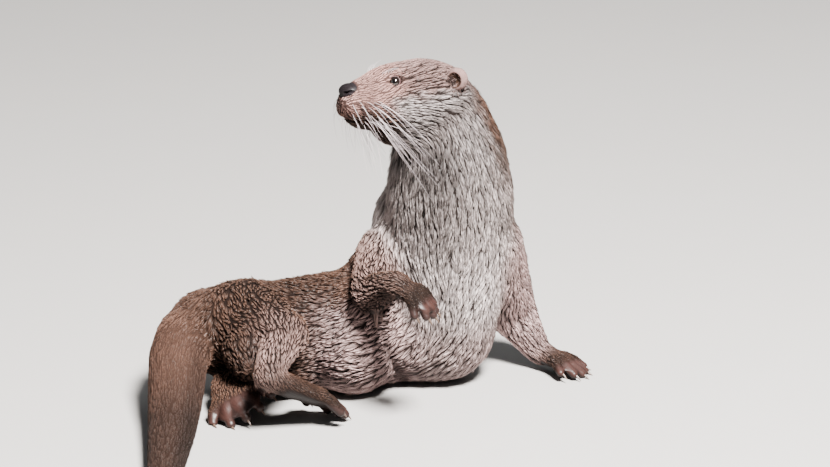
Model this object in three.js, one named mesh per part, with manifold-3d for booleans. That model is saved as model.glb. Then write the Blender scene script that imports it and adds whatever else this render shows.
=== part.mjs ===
// A life-size Eurasian river otter, lying on its left hip and propped up on its left foreleg, with
// its chest lifted, its right forepaw raised and its head turned to its right.
//
// Units are millimetres and +Z is up. The chest faces -Y and the tail comes forward along the floor.
// The flesh is one smooth field: chains of tapered capsules and ellipsoids that melt into each other.
// Each body part is that field inside the part's own region, so neighbours meet along thin cuts.

import * as THREE from 'three';
import Module from 'manifold-3d';

const wasm = await Module();
wasm.setup();

// ---------------------------------------------------------------- driving dimensions

const CUT = 0.4; // width of the thin cut between two body parts
const EYE_RADIUS = 6.5;
const CLAW = { radius: 1.5, length: 8 };

const HEAD_CENTRE = [23, 0, 316]; // midway between the ears
const HEAD_YAW = 27; // degrees that the nose turns from -X towards -Y
const HEAD_ROLL = 9; // degrees that the head's left side lifts

// Chains of [x, y, z, radius] along the middle of the body and of each limb.
const NECK = [[30, 6, 280, 47], [34, 14, 243, 58], [35, 22, 202, 65]];
const CHEST = [[35, 22, 202, 65], [33, 30, 157, 66], [32, 36, 108, 60], [26, 42, 56, 57]];
const LOIN = [[26, 42, 56, 57], [-17, 42, 54, 55], [-66, 25, 60, 61]];
const HIPS = [[-66, 25, 60, 61], [-131, 10, 60, 55], [-177, 5, 63, 48], [-208, 0, 68, 40]];
const TAIL = [
  [-208, 0, 68, 40], [-227, -20, 63, 34], [-236, -48, 54, 30], [-236, -88, 41, 28.5],
  [-236, -118, 30, 27], [-236, -168, 23, 24], [-237, -223, 18, 20], [-237, -285, 14.5, 16],
  [-236, -330, 9.5, 11], [-235, -362, 5.5, 6.5],
];
const ARM_LEFT = [[77, 42, 142, 33], [97, 88, 60, 27], [127, 72, 18, 13]];
const ARM_RIGHT = [[-30, 16, 140, 30], [-44, -48, 122, 20], [-20, -96, 149, 13]];
const LEG_RIGHT = [[-175, -10, 80, 40], [-130, -66, 84, 25], [-146, -126, 62, 12.5]];
const LEG_LEFT = [[-178, 2, 46, 36], [-122, -10, 29, 26], [-190, -48, 26, 14]];

// Places on the head: [forward, to the otter's left, up] from its centre, mirrored for the right.
const EYE = [57.8, 23, 18.8];
const EAR = [0, 44, 17];
const NOSE = [97.5, 0, 13.5];

// Radii [forward, sideways, up] of the small parts of the head.
const EAR_SIZE = [5.5, 11, 11.5];
const EAR_BOWL = [5.5, 7.5, 8];
const NOSE_SIZE = [10, 12, 7.5];
const NOSTRIL = [5, 2.6, 2];

// ---------------------------------------------------------------- vectors and frames

const V = (p) => new THREE.Vector3(p[0], p[1], p[2]);
const point = (v) => [v.x, v.y, v.z];
const mix = (a, b, t) => a.map((v, i) => v + (b[i] - v) * t);

/** Three perpendicular unit axes [forward, side, up] from a forward and a rough up direction. */
function axes(forward, up) {
  const f = V(forward).normalize();
  const s = V(up).cross(f).normalize();
  return [f, s, f.clone().cross(s)];
}

/** A function that takes a point in a frame's own axes to its place in the model. */
const placer = (origin, [f, s, u]) => (a, b, c) =>
  point(V(origin).addScaledVector(f, a).addScaledVector(s, b).addScaledVector(u, c));

const WORLD = [V([1, 0, 0]), V([0, 1, 0]), V([0, 0, 1])];
const yaw = THREE.MathUtils.degToRad(HEAD_YAW);
const roll = THREE.MathUtils.degToRad(HEAD_ROLL);
const HEAD = axes(
  [-Math.cos(yaw), -Math.sin(yaw), 0],
  [-Math.sin(yaw) * Math.sin(roll), Math.cos(yaw) * Math.sin(roll), Math.cos(roll)],
);
const head = placer(HEAD_CENTRE, HEAD);
const bothSides = (make) => [make(1), make(-1)];

// ---------------------------------------------------------------- distance fields

/** Distance to a capsule whose radius changes evenly from one end to the other. */
function capsule([ax, ay, az, ra], [bx, by, bz, rb]) {
  const [dx, dy, dz] = [bx - ax, by - ay, bz - az];
  const length2 = dx * dx + dy * dy + dz * dz;
  const taper = ra - rb;
  const side2 = length2 - taper * taper;
  return (x, y, z) => {
    const [px, py, pz] = [x - ax, y - ay, z - az];
    const along = px * dx + py * dy + pz * dz;
    const past = along - length2;
    const qx = px * length2 - dx * along;
    const qy = py * length2 - dy * along;
    const qz = pz * length2 - dz * along;
    const off2 = qx * qx + qy * qy + qz * qz;
    const k = Math.sign(taper) * taper * taper * off2;
    if (Math.sign(past) * side2 * past * past * length2 > k)
      return Math.sqrt(off2 + past * past * length2) / length2 - rb;
    if (Math.sign(along) * side2 * along * along * length2 < k)
      return Math.sqrt(off2 + along * along * length2) / length2 - ra;
    return (Math.sqrt((off2 * side2) / length2) + along * taper) / length2 - ra;
  };
}

/** Near distance to an ellipsoid with a radius along each of a frame's axes. */
function ball([cx, cy, cz], [ra, rb, rc], [f, s, u]) {
  return (x, y, z) => {
    const [px, py, pz] = [x - cx, y - cy, z - cz];
    const a = (px * f.x + py * f.y + pz * f.z) / ra;
    const b = (px * s.x + py * s.y + pz * s.z) / rb;
    const c = (px * u.x + py * u.y + pz * u.z) / rc;
    const k = Math.hypot(a, b, c);
    return (k * (k - 1)) / Math.max(Math.hypot(a / ra, b / rb, c / rc), 1e-9);
  };
}

/** Capsules through a list of stations. */
function chain(stations) {
  const pieces = stations.slice(1).map((s, i) => capsule(stations[i], s));
  return (x, y, z) => pieces.reduce((d, piece) => Math.min(d, piece(x, y, z)), 1e3);
}

/** The smaller of two distances, rounded off over a width k where the shapes meet. */
function melt(a, b, k) {
  const h = Math.max(k - Math.abs(a - b), 0) / k;
  return Math.min(a, b) - (h * h * k) / 4;
}

/** One field from several [field, k] pairs, each melting into those before it. */
const union = (list) => (x, y, z) => list.reduce((d, [f, k]) => melt(d, f(x, y, z), k), 1e3);

/** A field that is only worked out in full within reach of a ball round it. */
function near(field, [cx, cy, cz], radius) {
  return (x, y, z) => {
    const d = Math.hypot(x - cx, y - cy, z - cz) - radius;
    return d > 30 ? d : field(x, y, z);
  };
}

// ---------------------------------------------------------------- head, ears and nose

const headBall = (f, s, u, radii) => ball(head(f, s, u), radii, HEAD);

const skull = near(union([
  [headBall(22, 0, 3, [48, 43, 33]), 1],
  ...bothSides((e) => [headBall(6, e * 26, 8, [24, 19, 20]), 12]),
  [headBall(54, 0, 7, [32, 28, 27]), 12],
  [headBall(82, 0, 2, [26, 22, 22]), 10],
  ...bothSides((e) => [headBall(45, e * 22, -9, [33, 22, 25]), 14]),
  ...bothSides((e) => [headBall(88, e * 12, -4, [18, 14, 15]), 8]),
  [headBall(75, 0, -16, [23, 17, 12]), 10],
  [headBall(38, 0, -32, [34, 26, 18]), 12],
  ...bothSides((e) => [headBall(58, e * 17, 21, [13, 9, 7]), 6]),
  [headBall(...NOSE, NOSE_SIZE.map((r) => r - 1.5)), 4],
]), head(40, 0, 0), 80);

/** The frame of an ear: forward out of its mouth. */
const earFrame = (e) => axes(
  point(HEAD[0].clone().multiplyScalar(0.75).addScaledVector(HEAD[1], 0.65 * e)), point(HEAD[2]),
);

// ---------------------------------------------------------------- paws

/** A webbed paw with five toes, from the wrist forwards. */
function paw(wrist, frame, { length, width, thick, curl, palm, spread }) {
  const at = placer(wrist, frame);
  const web = [0.3 * length, width * (0.42 + spread * 0.4), thick * 0.42];
  const mitten = union([
    [ball(at(palm * length * 0.8, 0, 0), [palm * length * 0.7, width * 0.4, thick * 0.9], frame), 1],
    [ball(at(palm * length * 0.3, 0, 0), [palm * length * 0.5, width * 0.3, thick], frame), 8],
    [ball(at(0.66 * length, 0, -curl * 0.2), web, frame), 8],
  ]);
  const toes = [-2, -1, 0, 1, 2].map((toe) => {
    const side = (toe / 4) * width;
    const reach = length * (1 - 0.056 * toe * toe);
    const drop = -thick * 0.15 - curl;
    return [
      [...at(palm * length, side * 0.62, thick * 0.25), thick * 0.62],
      [...at(0.72 * reach, side * (0.8 + spread), thick * 0.2 - curl * 0.25), thick * 0.5],
      [...at(0.95 * reach, side * (1 + spread * 1.5), drop), thick * 0.46],
      [...at(1.1 * reach, side * (1 + spread * 1.8), drop * 1.25 - thick * 0.1), 0],
    ];
  });
  const field = toes.reduce((d, toe) => union([[d, 1], [chain(toe.slice(0, 3)), 3]]), mitten);
  const spine = [at(palm * length * 0.15, 0, 0), at(0.8 * length, 0, -curl * 0.4)];
  return { mitten, toes, spine, field: near(field, at(length * 0.55, 0, 0), length * 0.75) };
}

const LIMBS = {
  arm_right: {
    bones: ARM_RIGHT,
    names: ['upper_arm_right', 'forearm_right', 'forepaw_right'],
    paw: paw(ARM_RIGHT[2], axes([40, -20, -20], [0.5, -0.3, 0.9]), {
      length: 52, width: 38, thick: 10, curl: 6, palm: 0.42, spread: 0.02,
    }),
  },
  arm_left: {
    bones: ARM_LEFT,
    names: ['upper_arm_left', 'forearm_left', 'forepaw_left'],
    paw: paw(ARM_LEFT[2], axes([50, -34, -13], [0.1, 0.1, 1]), {
      length: 58, width: 40, thick: 10, curl: 1, palm: 0.42, spread: 0.12,
    }),
  },
  leg_right: {
    bones: LEG_RIGHT,
    names: ['thigh_right', 'shank_right', 'hindfoot_right'],
    paw: paw(LEG_RIGHT[2], axes([74, 56, -52], [0.3, 0.35, 0.9]), {
      length: 112, width: 50, thick: 12, curl: 5, palm: 0.56, spread: 0.05,
    }),
  },
  leg_left: {
    bones: LEG_LEFT,
    names: ['thigh_left', 'shank_left', 'hindfoot_left'],
    paw: paw(LEG_LEFT[2], axes([20, -52, -10], [-0.45, -0.1, 0.9]), {
      length: 62, width: 58, thick: 12, curl: 5, palm: 0.5, spread: 0.1,
    }),
  },
};

for (const limb of Object.values(LIMBS)) {
  const [top, joint, end] = limb.bones;
  limb.root = near(capsule(top, joint), mix(top, joint, 0.5), 75);
  limb.field = near(union([[chain(limb.bones), 1], [limb.paw.field, 6]]), mix(top, end, 0.5), 120);
}

// ---------------------------------------------------------------- the whole animal

const lump = (centre, radii) => near(ball(centre, radii, WORLD), centre, Math.max(...radii));
const LUMPS = {
  belly: lump([-62, 6, 58], [52, 58, 60]),
  rump: lump([-165, -12, 76], [46, 44, 42]),
  hamstring: lump([-162, -58, 66], [30, 34, 34]),
  shoulder_blade: lump([-14, 46, 166], [30, 34, 40]),
  flank: lump([-38, 50, 104], [34, 34, 40]), // behind the raised arm
};
const trunk = union([
  [chain([...NECK, ...CHEST.slice(1), ...LOIN.slice(1), ...HIPS.slice(1)]), 1],
  [chain(TAIL), 6],
  [LUMPS.belly, 8],
  [LUMPS.rump, 14],
  [LUMPS.hamstring, 14],
  [LUMPS.shoulder_blade, 14],
  [LUMPS.flank, 16],
  [skull, 22],
]);

/** The limbs melt smoothly into the trunk at their roots, and only crease where they touch it. */
function flesh(x, y, z) {
  const body = trunk(x, y, z);
  return Object.values(LIMBS).reduce((d, { root, field }) =>
    Math.min(d, melt(melt(body, root(x, y, z), 14), field(x, y, z), 3)), body);
}

// ---------------------------------------------------------------- from a field to solids

const solidOf = (positions, triangles) => new wasm.Manifold(new wasm.Mesh({
  numProp: 3,
  vertProperties: new Float32Array(positions),
  triVerts: new Uint32Array(triangles),
}));

/** The place where a ray from inside a field reaches its surface. */
function cast(field, from, way) {
  const p = from.clone();
  for (let i = 0; i < 60; i++) {
    const d = field(p.x, p.y, p.z);
    if (d > -0.005) break;
    p.addScaledVector(way, -0.9 * d);
  }
  return p;
}

/** A closed skin cast onto a field from a path inside it: rings along the path, and round ends. */
function sleeve(field, path, rings, sides, capRings = 3) {
  const curve = new THREE.CatmullRomCurve3(path.map(V));
  const { tangents, normals, binormals } = curve.computeFrenetFrames(rings - 1);
  const origins = tangents.map((_, i) => curve.getPointAt(i / (rings - 1)));
  const ring = (i, lean) => [...Array(sides)].map((_, s) => {
    const turn = (2 * Math.PI * s) / sides;
    const way = normals[i].clone().multiplyScalar(Math.cos(turn));
    way.addScaledVector(binormals[i], Math.sin(turn)).multiplyScalar(Math.cos(lean));
    return cast(field, origins[i], way.addScaledVector(tangents[i], Math.sin(lean)));
  });
  const pole = (i, e) => cast(field, origins[i], tangents[i].clone().multiplyScalar(e));
  const leans = [...Array(capRings - 1)].map((_, c) => ((c + 1) * Math.PI) / 2 / capRings);
  const rows = [
    ...[...leans].reverse().map((lean) => ring(0, -lean)),
    ...origins.map((_, i) => ring(i, 0)),
    ...leans.map((lean) => ring(rings - 1, lean)),
  ];
  const positions = [...rows.flat(), pole(0, -1), pole(rings - 1, 1)].flatMap(point);
  const [count, top] = [rows.length * sides, (rows.length - 1) * sides];
  const triangles = [];
  for (let s = 0; s < sides; s++) {
    const next = (s + 1) % sides;
    triangles.push(count, next, s, count + 1, top + s, top + next);
    for (let r = 0; r < top; r += sides)
      triangles.push(r + s, r + next, r + sides + next, r + s, r + sides + next, r + sides + s);
  }
  return solidOf(positions, triangles);
}

/** A three.js geometry as a solid, with its seams closed. */
function fromGeometry(geometry) {
  const found = new Map();
  const positions = [];
  const p = geometry.getAttribute('position');
  const index = [...geometry.index.array].map((i) => {
    const at = [p.getX(i), p.getY(i), p.getZ(i)].map((v) => Math.round(v * 1e4) / 1e4 + 0);
    const key = at.join();
    if (!found.has(key)) {
      found.set(key, positions.length / 3);
      positions.push(...at);
    }
    return found.get(key);
  });
  const triangles = [];
  for (let i = 0; i < index.length; i += 3) {
    const t = index.slice(i, i + 3);
    if (new Set(t).size === 3) triangles.push(...t);
  }
  return solidOf(positions, triangles);
}

/** A plain ellipsoid with its radii along a frame's axes. */
function egg(centre, radii, frame, across = 12, down = 8) {
  const shape = new THREE.SphereGeometry(1, across, down).scale(...radii);
  return fromGeometry(shape.applyMatrix4(new THREE.Matrix4().makeBasis(...frame)).translate(...centre));
}

/** Everything beyond a plane, from a gap's width past it. */
function beyond(at, normal, gap = 0) {
  const size = 1200;
  const slab = new THREE.BoxGeometry(size, size, size).translate(0, 0, size / 2 + gap);
  slab.applyQuaternion(new THREE.Quaternion().setFromUnitVectors(WORLD[2], V(normal).normalize()));
  return fromGeometry(slab.translate(...at));
}

/** A solid cut in two at a plane, with the cut's width between the halves: [behind, beyond]. */
function parted(solid, at, normal) {
  const back = normal.map((v) => -v);
  return [solid.intersect(beyond(at, back, CUT / 2)), solid.intersect(beyond(at, normal, CUT / 2))];
}

// ---------------------------------------------------------------- body parts

const floor = beyond([0, 0, 0], [0, 0, -1]);
const place = (station) => station.slice(0, 3);
const within = (...fields) => (x, y, z) => Math.max(...fields.map((f) => f(x, y, z)));
const grown = (field, by) => (x, y, z) => field(x, y, z) - by;
const solids = {};

/** A slender claw from inside a toe's end towards its own point. */
function claw([, , tip, point3]) {
  const way = V(point3).sub(V(tip)).normalize();
  const shape = new THREE.ConeGeometry(CLAW.radius, CLAW.length, 5).translate(0, CLAW.length / 2, 0);
  shape.applyQuaternion(new THREE.Quaternion().setFromUnitVectors(WORLD[1], way));
  return fromGeometry(shape.translate(...point(V(tip).addScaledVector(way, tip[3] - 2))));
}

/** A paw's palm, webs and toes as one solid, grown by a margin. */
function pawSolid({ mitten, toes, spine }, margin) {
  const palm = sleeve(grown(mitten, margin), spine, 4, 10, 2);
  return toes.reduce((solid, toe) => {
    const bones = toe.slice(0, 3);
    return solid.add(sleeve(grown(chain(bones), margin), bones.map(place), 3, 5, 1));
  }, palm);
}

// Each limb leaves its own room in the body. It is cut at its middle joint and round its paw.
const ROOM = [9, 4.5]; // how far a limb's room reaches past its upper and lower bones' own surface
const rooms = [];
const taken = (solid) => rooms.reduce((rest, room) => rest.subtract(room), solid.subtract(floor));
for (const { bones, names, paw: foot } of Object.values(LIMBS)) {
  const bend = V(bones[1]).sub(V(bones[0])).normalize().add(V(bones[2]).sub(V(bones[1])).normalize());
  solids[names[2]] = foot.toes.reduce((solid, toe) => solid.add(claw(toe)), taken(pawSolid(foot, 0)));
  solids[names[2]] = solids[names[2]].subtract(floor);
  const clear = [pawSolid(foot, CUT)];
  for (const i of [0, 1]) {
    const own = capsule(bones[i], bones[i + 1]);
    const path = [place(bones[i]), place(bones[i + 1])];
    const bone = sleeve(within(flesh, grown(own, ROOM[i])), path, 5, 12);
    const half = parted(bone, place(bones[1]), point(bend))[i];
    solids[names[i]] = taken(half).subtract(clear[0]);
    clear.push(sleeve(grown(own, ROOM[i] + CUT), path, 5, 12));
  }
  rooms.push(...clear);
}

// The trunk, from the neck to the tip of the tail, is cut by planes.
const behindHead = HEAD[0].clone().multiplyScalar(-0.78).addScaledVector(HEAD[2], -0.62);
const planes = [
  [head(-5, 0, -12), point(behindHead)],
  [[34, 20, 212], [0, -0.15, -1]],
  [[15, 40, 62], [-0.7, 0, -0.72]],
  [[-100, 18, 60], [-1, 0, 0]],
  [[-224, -16, 64], [-0.5, -0.85, -0.15]],
  [[-236, -140, 26], [0, -1, 0]],
  [[-237, -250, 16], [0, -1, 0]],
];
const REACH = 12; // how far a length of trunk may bulge past its own chain
const hipChain = [...LOIN.slice(-1), ...HIPS.slice(1), TAIL[1], TAIL[2]];
const lengths = [
  ['neck', union([[chain(NECK), 1], [skull, 20], [LUMPS.shoulder_blade, 10]]),
    [[27, 3, 300], [34, 14, 243], [35, 23, 192]], 7, 16],
  ['chest', union([[chain(CHEST), 1], [LUMPS.shoulder_blade, 1], [LUMPS.flank, 1]]),
    [[35, 20, 226], [33, 30, 157], [32, 36, 108], [20, 41, 64]], 8, 16],
  ['belly', union([[chain([...LOIN, HIPS[1]]), 1], [LUMPS.belly, 1], [LUMPS.flank, 1]]),
    [[22, 42, 56], [-17, 42, 56], [-66, 25, 60], [-106, 16, 60]], 8, 16],
  ['hips', union([[chain(hipChain), 1], [LUMPS.rump, 1], [LUMPS.hamstring, 1]]),
    [[-96, 18, 60], [-131, 10, 60], [-177, 5, 63], [-208, 0, 66], [-227, -20, 63]], 8, 16],
  ['tail_base', chain(TAIL.slice(0, 6)), TAIL.slice(1, 6).map(place), 8, 12],
  ['tail_middle', chain(TAIL.slice(4, 8)), TAIL.slice(4, 8).map(place), 5, 12],
  ['tail_tip', chain(TAIL.slice(6)), TAIL.slice(6).map(place), 6, 12],
];
lengths.forEach(([name, own, path, rings, sides], i) => {
  const solid = taken(sleeve(within(flesh, grown(own, REACH)), path, rings, sides));
  const after = parted(solid, ...planes[i])[1];
  solids[name] = planes[i + 1] ? parted(after, ...planes[i + 1])[0] : after;
});

// The head leaves room for the eyes, the ears and the nose pad.
const headPath = [head(-4, 0, -4), head(30, 0, 0), head(62, 0, 0), head(92, 0, 0)];
let skin = parted(sleeve(within(flesh, grown(skull, 3)), headPath, 12, 20, 3), ...planes[0])[0];
for (const [e, side] of [[1, 'left'], [-1, 'right']]) {
  const eye = head(EYE[0], EYE[1] * e, EYE[2]);
  solids[`eye_${side}`] = egg(eye, Array(3).fill(EYE_RADIUS), WORLD, 10, 8);
  skin = skin.subtract(egg(eye, Array(3).fill(EYE_RADIUS + CUT + 0.3), WORLD, 10, 8));
  const frame = earFrame(e);
  const at = placer(head(EAR[0], EAR[1] * e, EAR[2]), frame);
  const size = EAR_SIZE.map((r) => r + CUT);
  solids[`ear_${side}`] = egg(at(0, 0, 0), EAR_SIZE, frame, 10, 7)
    .subtract(egg(at(5, 0, 1), EAR_BOWL, frame, 8, 6));
  skin = skin.subtract(egg(at(0, 0, 0), size, frame, 10, 7));
}
const nose = head(...NOSE);
solids.nose = bothSides((e) => egg(head(NOSE[0] + 8, e * 6.5, NOSE[2]), NOSTRIL, HEAD, 6, 4))
  .reduce((solid, hole) => solid.subtract(hole), egg(nose, NOSE_SIZE, HEAD, 12, 8));
solids.head = skin.subtract(egg(nose, NOSE_SIZE.map((r) => r + CUT), HEAD, 12, 8));

// ---------------------------------------------------------------- assembly

const MATERIALS = {
  brown_fur: new THREE.MeshStandardMaterial({ color: 0x6b5444, roughness: 0.8, metalness: 0 }),
  silver_fur: new THREE.MeshStandardMaterial({ color: 0xa89d94, roughness: 0.8, metalness: 0 }),
  paw_skin: new THREE.MeshStandardMaterial({ color: 0x6e5450, roughness: 0.55, metalness: 0 }),
  nose_skin: new THREE.MeshStandardMaterial({ color: 0x4a4046, roughness: 0.45, metalness: 0 }),
  eye: new THREE.MeshStandardMaterial({ color: 0x17110e, roughness: 0.08, metalness: 0 }),
};
const materialOf = (name) => {
  if (name.startsWith('eye')) return MATERIALS.eye;
  if (name === 'nose') return MATERIALS.nose_skin;
  if (/paw|foot/.test(name)) return MATERIALS.paw_skin;
  return /neck|chest/.test(name) ? MATERIALS.silver_fur : MATERIALS.brown_fur;
};

const otter = new THREE.Group();
const bounds = new THREE.Box3();
for (const [name, solid] of Object.entries(solids)) {
  const { vertProperties, triVerts } = solid.getMesh();
  const geometry = new THREE.BufferGeometry();
  geometry.setAttribute('position', new THREE.BufferAttribute(new Float32Array(vertProperties), 3));
  geometry.setIndex(new THREE.BufferAttribute(new Uint32Array(triVerts), 1));
  geometry.computeVertexNormals();
  const mesh = new THREE.Mesh(geometry, materialOf(name));
  mesh.name = name;
  otter.add(mesh);
  bounds.expandByObject(mesh);
}
const middle = bounds.getCenter(new THREE.Vector3());
otter.position.set(-middle.x, -middle.y, -bounds.min.z);

export default otter;
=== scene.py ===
"""A river otter with a wet coat: one skin over its flesh, dressed in thousands of locks of mesh fur.

The file is laid out as an add-on and run as a script. The animal's own tables are in millimetres,
with the floor at z = 0, its chest towards -Y and its tail coming forward along the floor. Every mesh
goes through to_row(), which takes those millimetres to the frame's metres.
"""

import math
from collections import namedtuple
from types import SimpleNamespace

import bmesh
import bpy
import numpy as np
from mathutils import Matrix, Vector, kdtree


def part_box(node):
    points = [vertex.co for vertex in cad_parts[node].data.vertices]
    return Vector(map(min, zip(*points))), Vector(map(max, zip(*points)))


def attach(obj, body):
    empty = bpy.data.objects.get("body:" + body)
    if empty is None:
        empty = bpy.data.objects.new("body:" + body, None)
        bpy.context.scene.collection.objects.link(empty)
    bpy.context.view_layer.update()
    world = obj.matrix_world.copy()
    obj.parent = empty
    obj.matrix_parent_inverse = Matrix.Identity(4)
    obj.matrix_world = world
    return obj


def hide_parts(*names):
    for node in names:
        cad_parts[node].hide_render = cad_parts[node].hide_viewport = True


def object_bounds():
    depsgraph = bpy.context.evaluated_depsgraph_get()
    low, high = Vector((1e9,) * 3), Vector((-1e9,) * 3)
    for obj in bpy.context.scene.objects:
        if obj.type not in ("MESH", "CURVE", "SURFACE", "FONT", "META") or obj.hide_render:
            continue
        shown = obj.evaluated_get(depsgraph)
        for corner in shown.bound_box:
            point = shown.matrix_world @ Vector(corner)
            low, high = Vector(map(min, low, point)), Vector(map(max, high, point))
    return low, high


bl_info = {
    "name": "River Otter",
    "version": (1, 0, 0),
    "blender": (4, 5, 0),
    "location": "3D View > Sidebar > Otter",
    "description": "Builds a still river otter with a clumped wet coat round a packed frame",
    "category": "Add Mesh",
}

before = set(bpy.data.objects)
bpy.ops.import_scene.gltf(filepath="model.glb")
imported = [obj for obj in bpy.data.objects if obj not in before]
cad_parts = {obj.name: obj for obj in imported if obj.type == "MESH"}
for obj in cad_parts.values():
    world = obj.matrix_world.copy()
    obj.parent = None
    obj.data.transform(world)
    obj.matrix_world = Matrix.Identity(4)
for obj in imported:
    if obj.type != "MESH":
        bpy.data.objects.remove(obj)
CAD_BOX = [list(corner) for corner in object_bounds()]
MM = 0.001

# -------- the animal's proportions

EYE_RADIUS = 6.5
HEAD_CENTRE = np.array([23.0, 0.0, 316.0])  # midway between the ears
HEAD_YAW = math.radians(27)  # the nose turns from -X towards -Y
HEAD_ROLL = math.radians(9)  # the head's left side lifts

# Chains of [x, y, z, radius] along the middle of the body and of each limb.
BODY_CHAINS = {
    "neck": [[30, 6, 280, 47], [34, 14, 243, 58], [35, 22, 202, 65]],
    "chest": [[35, 22, 202, 65], [33, 30, 157, 66], [32, 36, 108, 60], [26, 42, 56, 57]],
    "loin": [[26, 42, 56, 57], [-17, 42, 54, 55], [-66, 25, 60, 61]],
    "hips": [[-66, 25, 60, 61], [-131, 10, 60, 55], [-177, 5, 63, 48], [-208, 0, 68, 40]],
    "tail": [
        [-208, 0, 68, 40], [-227, -20, 63, 34], [-236, -48, 54, 30], [-236, -88, 41, 28.5],
        [-236, -118, 30, 27], [-236, -168, 23, 24], [-237, -223, 18, 20], [-237, -285, 14.5, 16],
        [-236, -330, 9.5, 11], [-235, -362, 5.5, 6.5],
    ],
}
BONES = {
    "arm_right": [[-30, 16, 140, 30], [-44, -48, 122, 20], [-20, -96, 149, 13]],
    "arm_left": [[77, 42, 142, 33], [97, 88, 60, 27], [127, 72, 18, 13]],
    "leg_right": [[-175, -10, 80, 40], [-130, -66, 84, 25], [-146, -126, 62, 12.5]],
    "leg_left": [[-178, 2, 46, 36], [-122, -10, 29, 26], [-190, -48, 26, 14]],
}
CHAINS = {**BODY_CHAINS, **BONES}
SEGMENTS = [pair for stations in CHAINS.values() for pair in zip(stations, stations[1:])]

# Places on the head: [forward, to the otter's left, up] from its centre, mirrored for the right.
EYE = (57.8, 23, 18.8)
EAR = (0, 44, 17)
NOSE = (97.5, 0, 13.5)
EAR_SIZE = (5.5, 11, 11.5)
EAR_BOWL = (4.6, 6.8, 7.2)
NOSE_SIZE = (10, 12, 7.5)


def unit(v):
    """v, or each row of v, at length one."""
    v = np.asarray(v, float)
    return v / np.maximum(np.linalg.norm(v, axis=-1, keepdims=True), 1e-12)


def dots(a, b):
    """The dot product of each row of a with the same row of b."""
    return np.einsum("ij,ij->i", a, b)


def away_from(place, points):
    """How far each point is from a place."""
    return np.linalg.norm(points - place, axis=1)


def axes(forward, up):
    """Rows [forward, side, up] of a frame from its forward and rough up directions."""
    f = unit(forward)
    s = unit(np.cross(up, f))
    return np.array([f, s, np.cross(f, s)])


WORLD = np.eye(3)
LEAN = math.sin(HEAD_ROLL)
HEAD = axes(
    [-math.cos(HEAD_YAW), -math.sin(HEAD_YAW), 0],
    [-math.sin(HEAD_YAW) * LEAN, math.cos(HEAD_YAW) * LEAN, math.cos(HEAD_ROLL)],
)


def head(f, s, u):
    """The place of a point given in the head's own axes."""
    return HEAD_CENTRE + np.array([f, s, u], float) @ HEAD


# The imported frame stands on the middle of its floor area: the eye shows how far it was moved.
SHIFT = np.mean([np.array(c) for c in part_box("eye_left")], axis=0) / MM - head(*EYE)


def to_row(points):
    """Millimetres of the animal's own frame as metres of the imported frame."""
    return (np.asarray(points, float) + SHIFT) * MM


# -------- distance fields

def capsule(a, b):
    """Distance to a capsule whose radius changes evenly from one end to the other."""
    (ra, rb), a, d = (a[3], b[3]), np.array(a[:3], float), np.subtract(b[:3], a[:3]).astype(float)
    length2, taper = d @ d, ra - rb
    side2 = length2 - taper * taper

    def field(points):
        p = points - a
        along = p @ d
        past = along - length2
        q = p * length2 - d * along[:, None]
        off2 = dots(q, q)
        k = np.sign(taper) * taper * taper * off2
        out = (np.sqrt(off2 * side2 / length2) + along * taper) / length2 - ra
        before = np.sign(along) * side2 * along * along * length2 < k
        out = np.where(before, np.sqrt(off2 + along * along * length2) / length2 - ra, out)
        beyond = np.sign(past) * side2 * past * past * length2 > k
        return np.where(beyond, np.sqrt(off2 + past * past * length2) / length2 - rb, out)

    return field


def ball(centre, radii, rows):
    """Near distance to an ellipsoid with a radius along each of a frame's axes."""
    centre, radii = np.asarray(centre, float), np.asarray(radii, float)

    def field(points):
        q = (points - centre) @ rows.T / radii
        k = np.sqrt(dots(q, q))
        q /= radii
        return k * (k - 1) / np.maximum(np.sqrt(dots(q, q)), 1e-9)

    return field


def chain(stations):
    """Capsules through a list of stations."""
    pieces = [capsule(a, b) for a, b in zip(stations, stations[1:])]
    return lambda points: np.min([piece(points) for piece in pieces], axis=0)


def melt(a, b, k):
    """The smaller of two distances, rounded off over a width k where the shapes meet."""
    h = np.maximum(k - np.abs(a - b), 0) / k
    return np.minimum(a, b) - h * h * k / 4


def union(pairs):
    """One field from several (field, k) pairs, each melting into those before it."""
    def field(points):
        d = pairs[0][0](points)
        for other, k in pairs[1:]:
            d = melt(d, other(points), k)
        return d

    return field


def near(field, centre, radius, reach=30):
    """A field that is only worked out in full within reach of a ball round it."""
    centre = np.asarray(centre, float)

    def limited(points):
        d = away_from(centre, points) - radius
        close = d <= reach
        if close.any():
            d[close] = field(points[close])
        return d

    return limited


def chunked(field, points, size=16384):
    """A field's values, worked out a few thousand points at a time."""
    return np.concatenate([field(points[i:i + size]) for i in range(0, len(points), size)])


def smooth(x, low, high):
    """0 at low, 1 at high, and an even step between them."""
    t = np.clip((x - low) / (high - low), 0, 1)
    return t * t * (3 - 2 * t)


def head_ball(f, s, u, radii):
    """An ellipsoid given in the head's own axes."""
    return ball(head(f, s, u), radii, HEAD)


SKULL = near(union([
    (head_ball(22, 0, 3, [48, 43, 33]), 1),
    *[(head_ball(6, e * 26, 8, [24, 19, 20]), 12) for e in (1, -1)],
    (head_ball(54, 0, 7, [32, 28, 27]), 12),
    (head_ball(82, 0, 2, [26, 22, 22]), 10),
    *[(head_ball(45, e * 22, -9, [33, 22, 25]), 14) for e in (1, -1)],
    *[(head_ball(88, e * 12, -4, [18, 14, 15]), 8) for e in (1, -1)],
    (head_ball(75, 0, -16, [23, 17, 12]), 10),
    (head_ball(38, 0, -32, [34, 26, 18]), 12),
    *[(head_ball(58, e * 17, 21, [13, 9, 7]), 6) for e in (1, -1)],
    (head_ball(*NOSE, [r - 1.5 for r in NOSE_SIZE]), 4),
]), head(40, 0, 0), 80)

Paw = namedtuple("Paw", "wrist rows length thick furred toes digits field")


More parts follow.
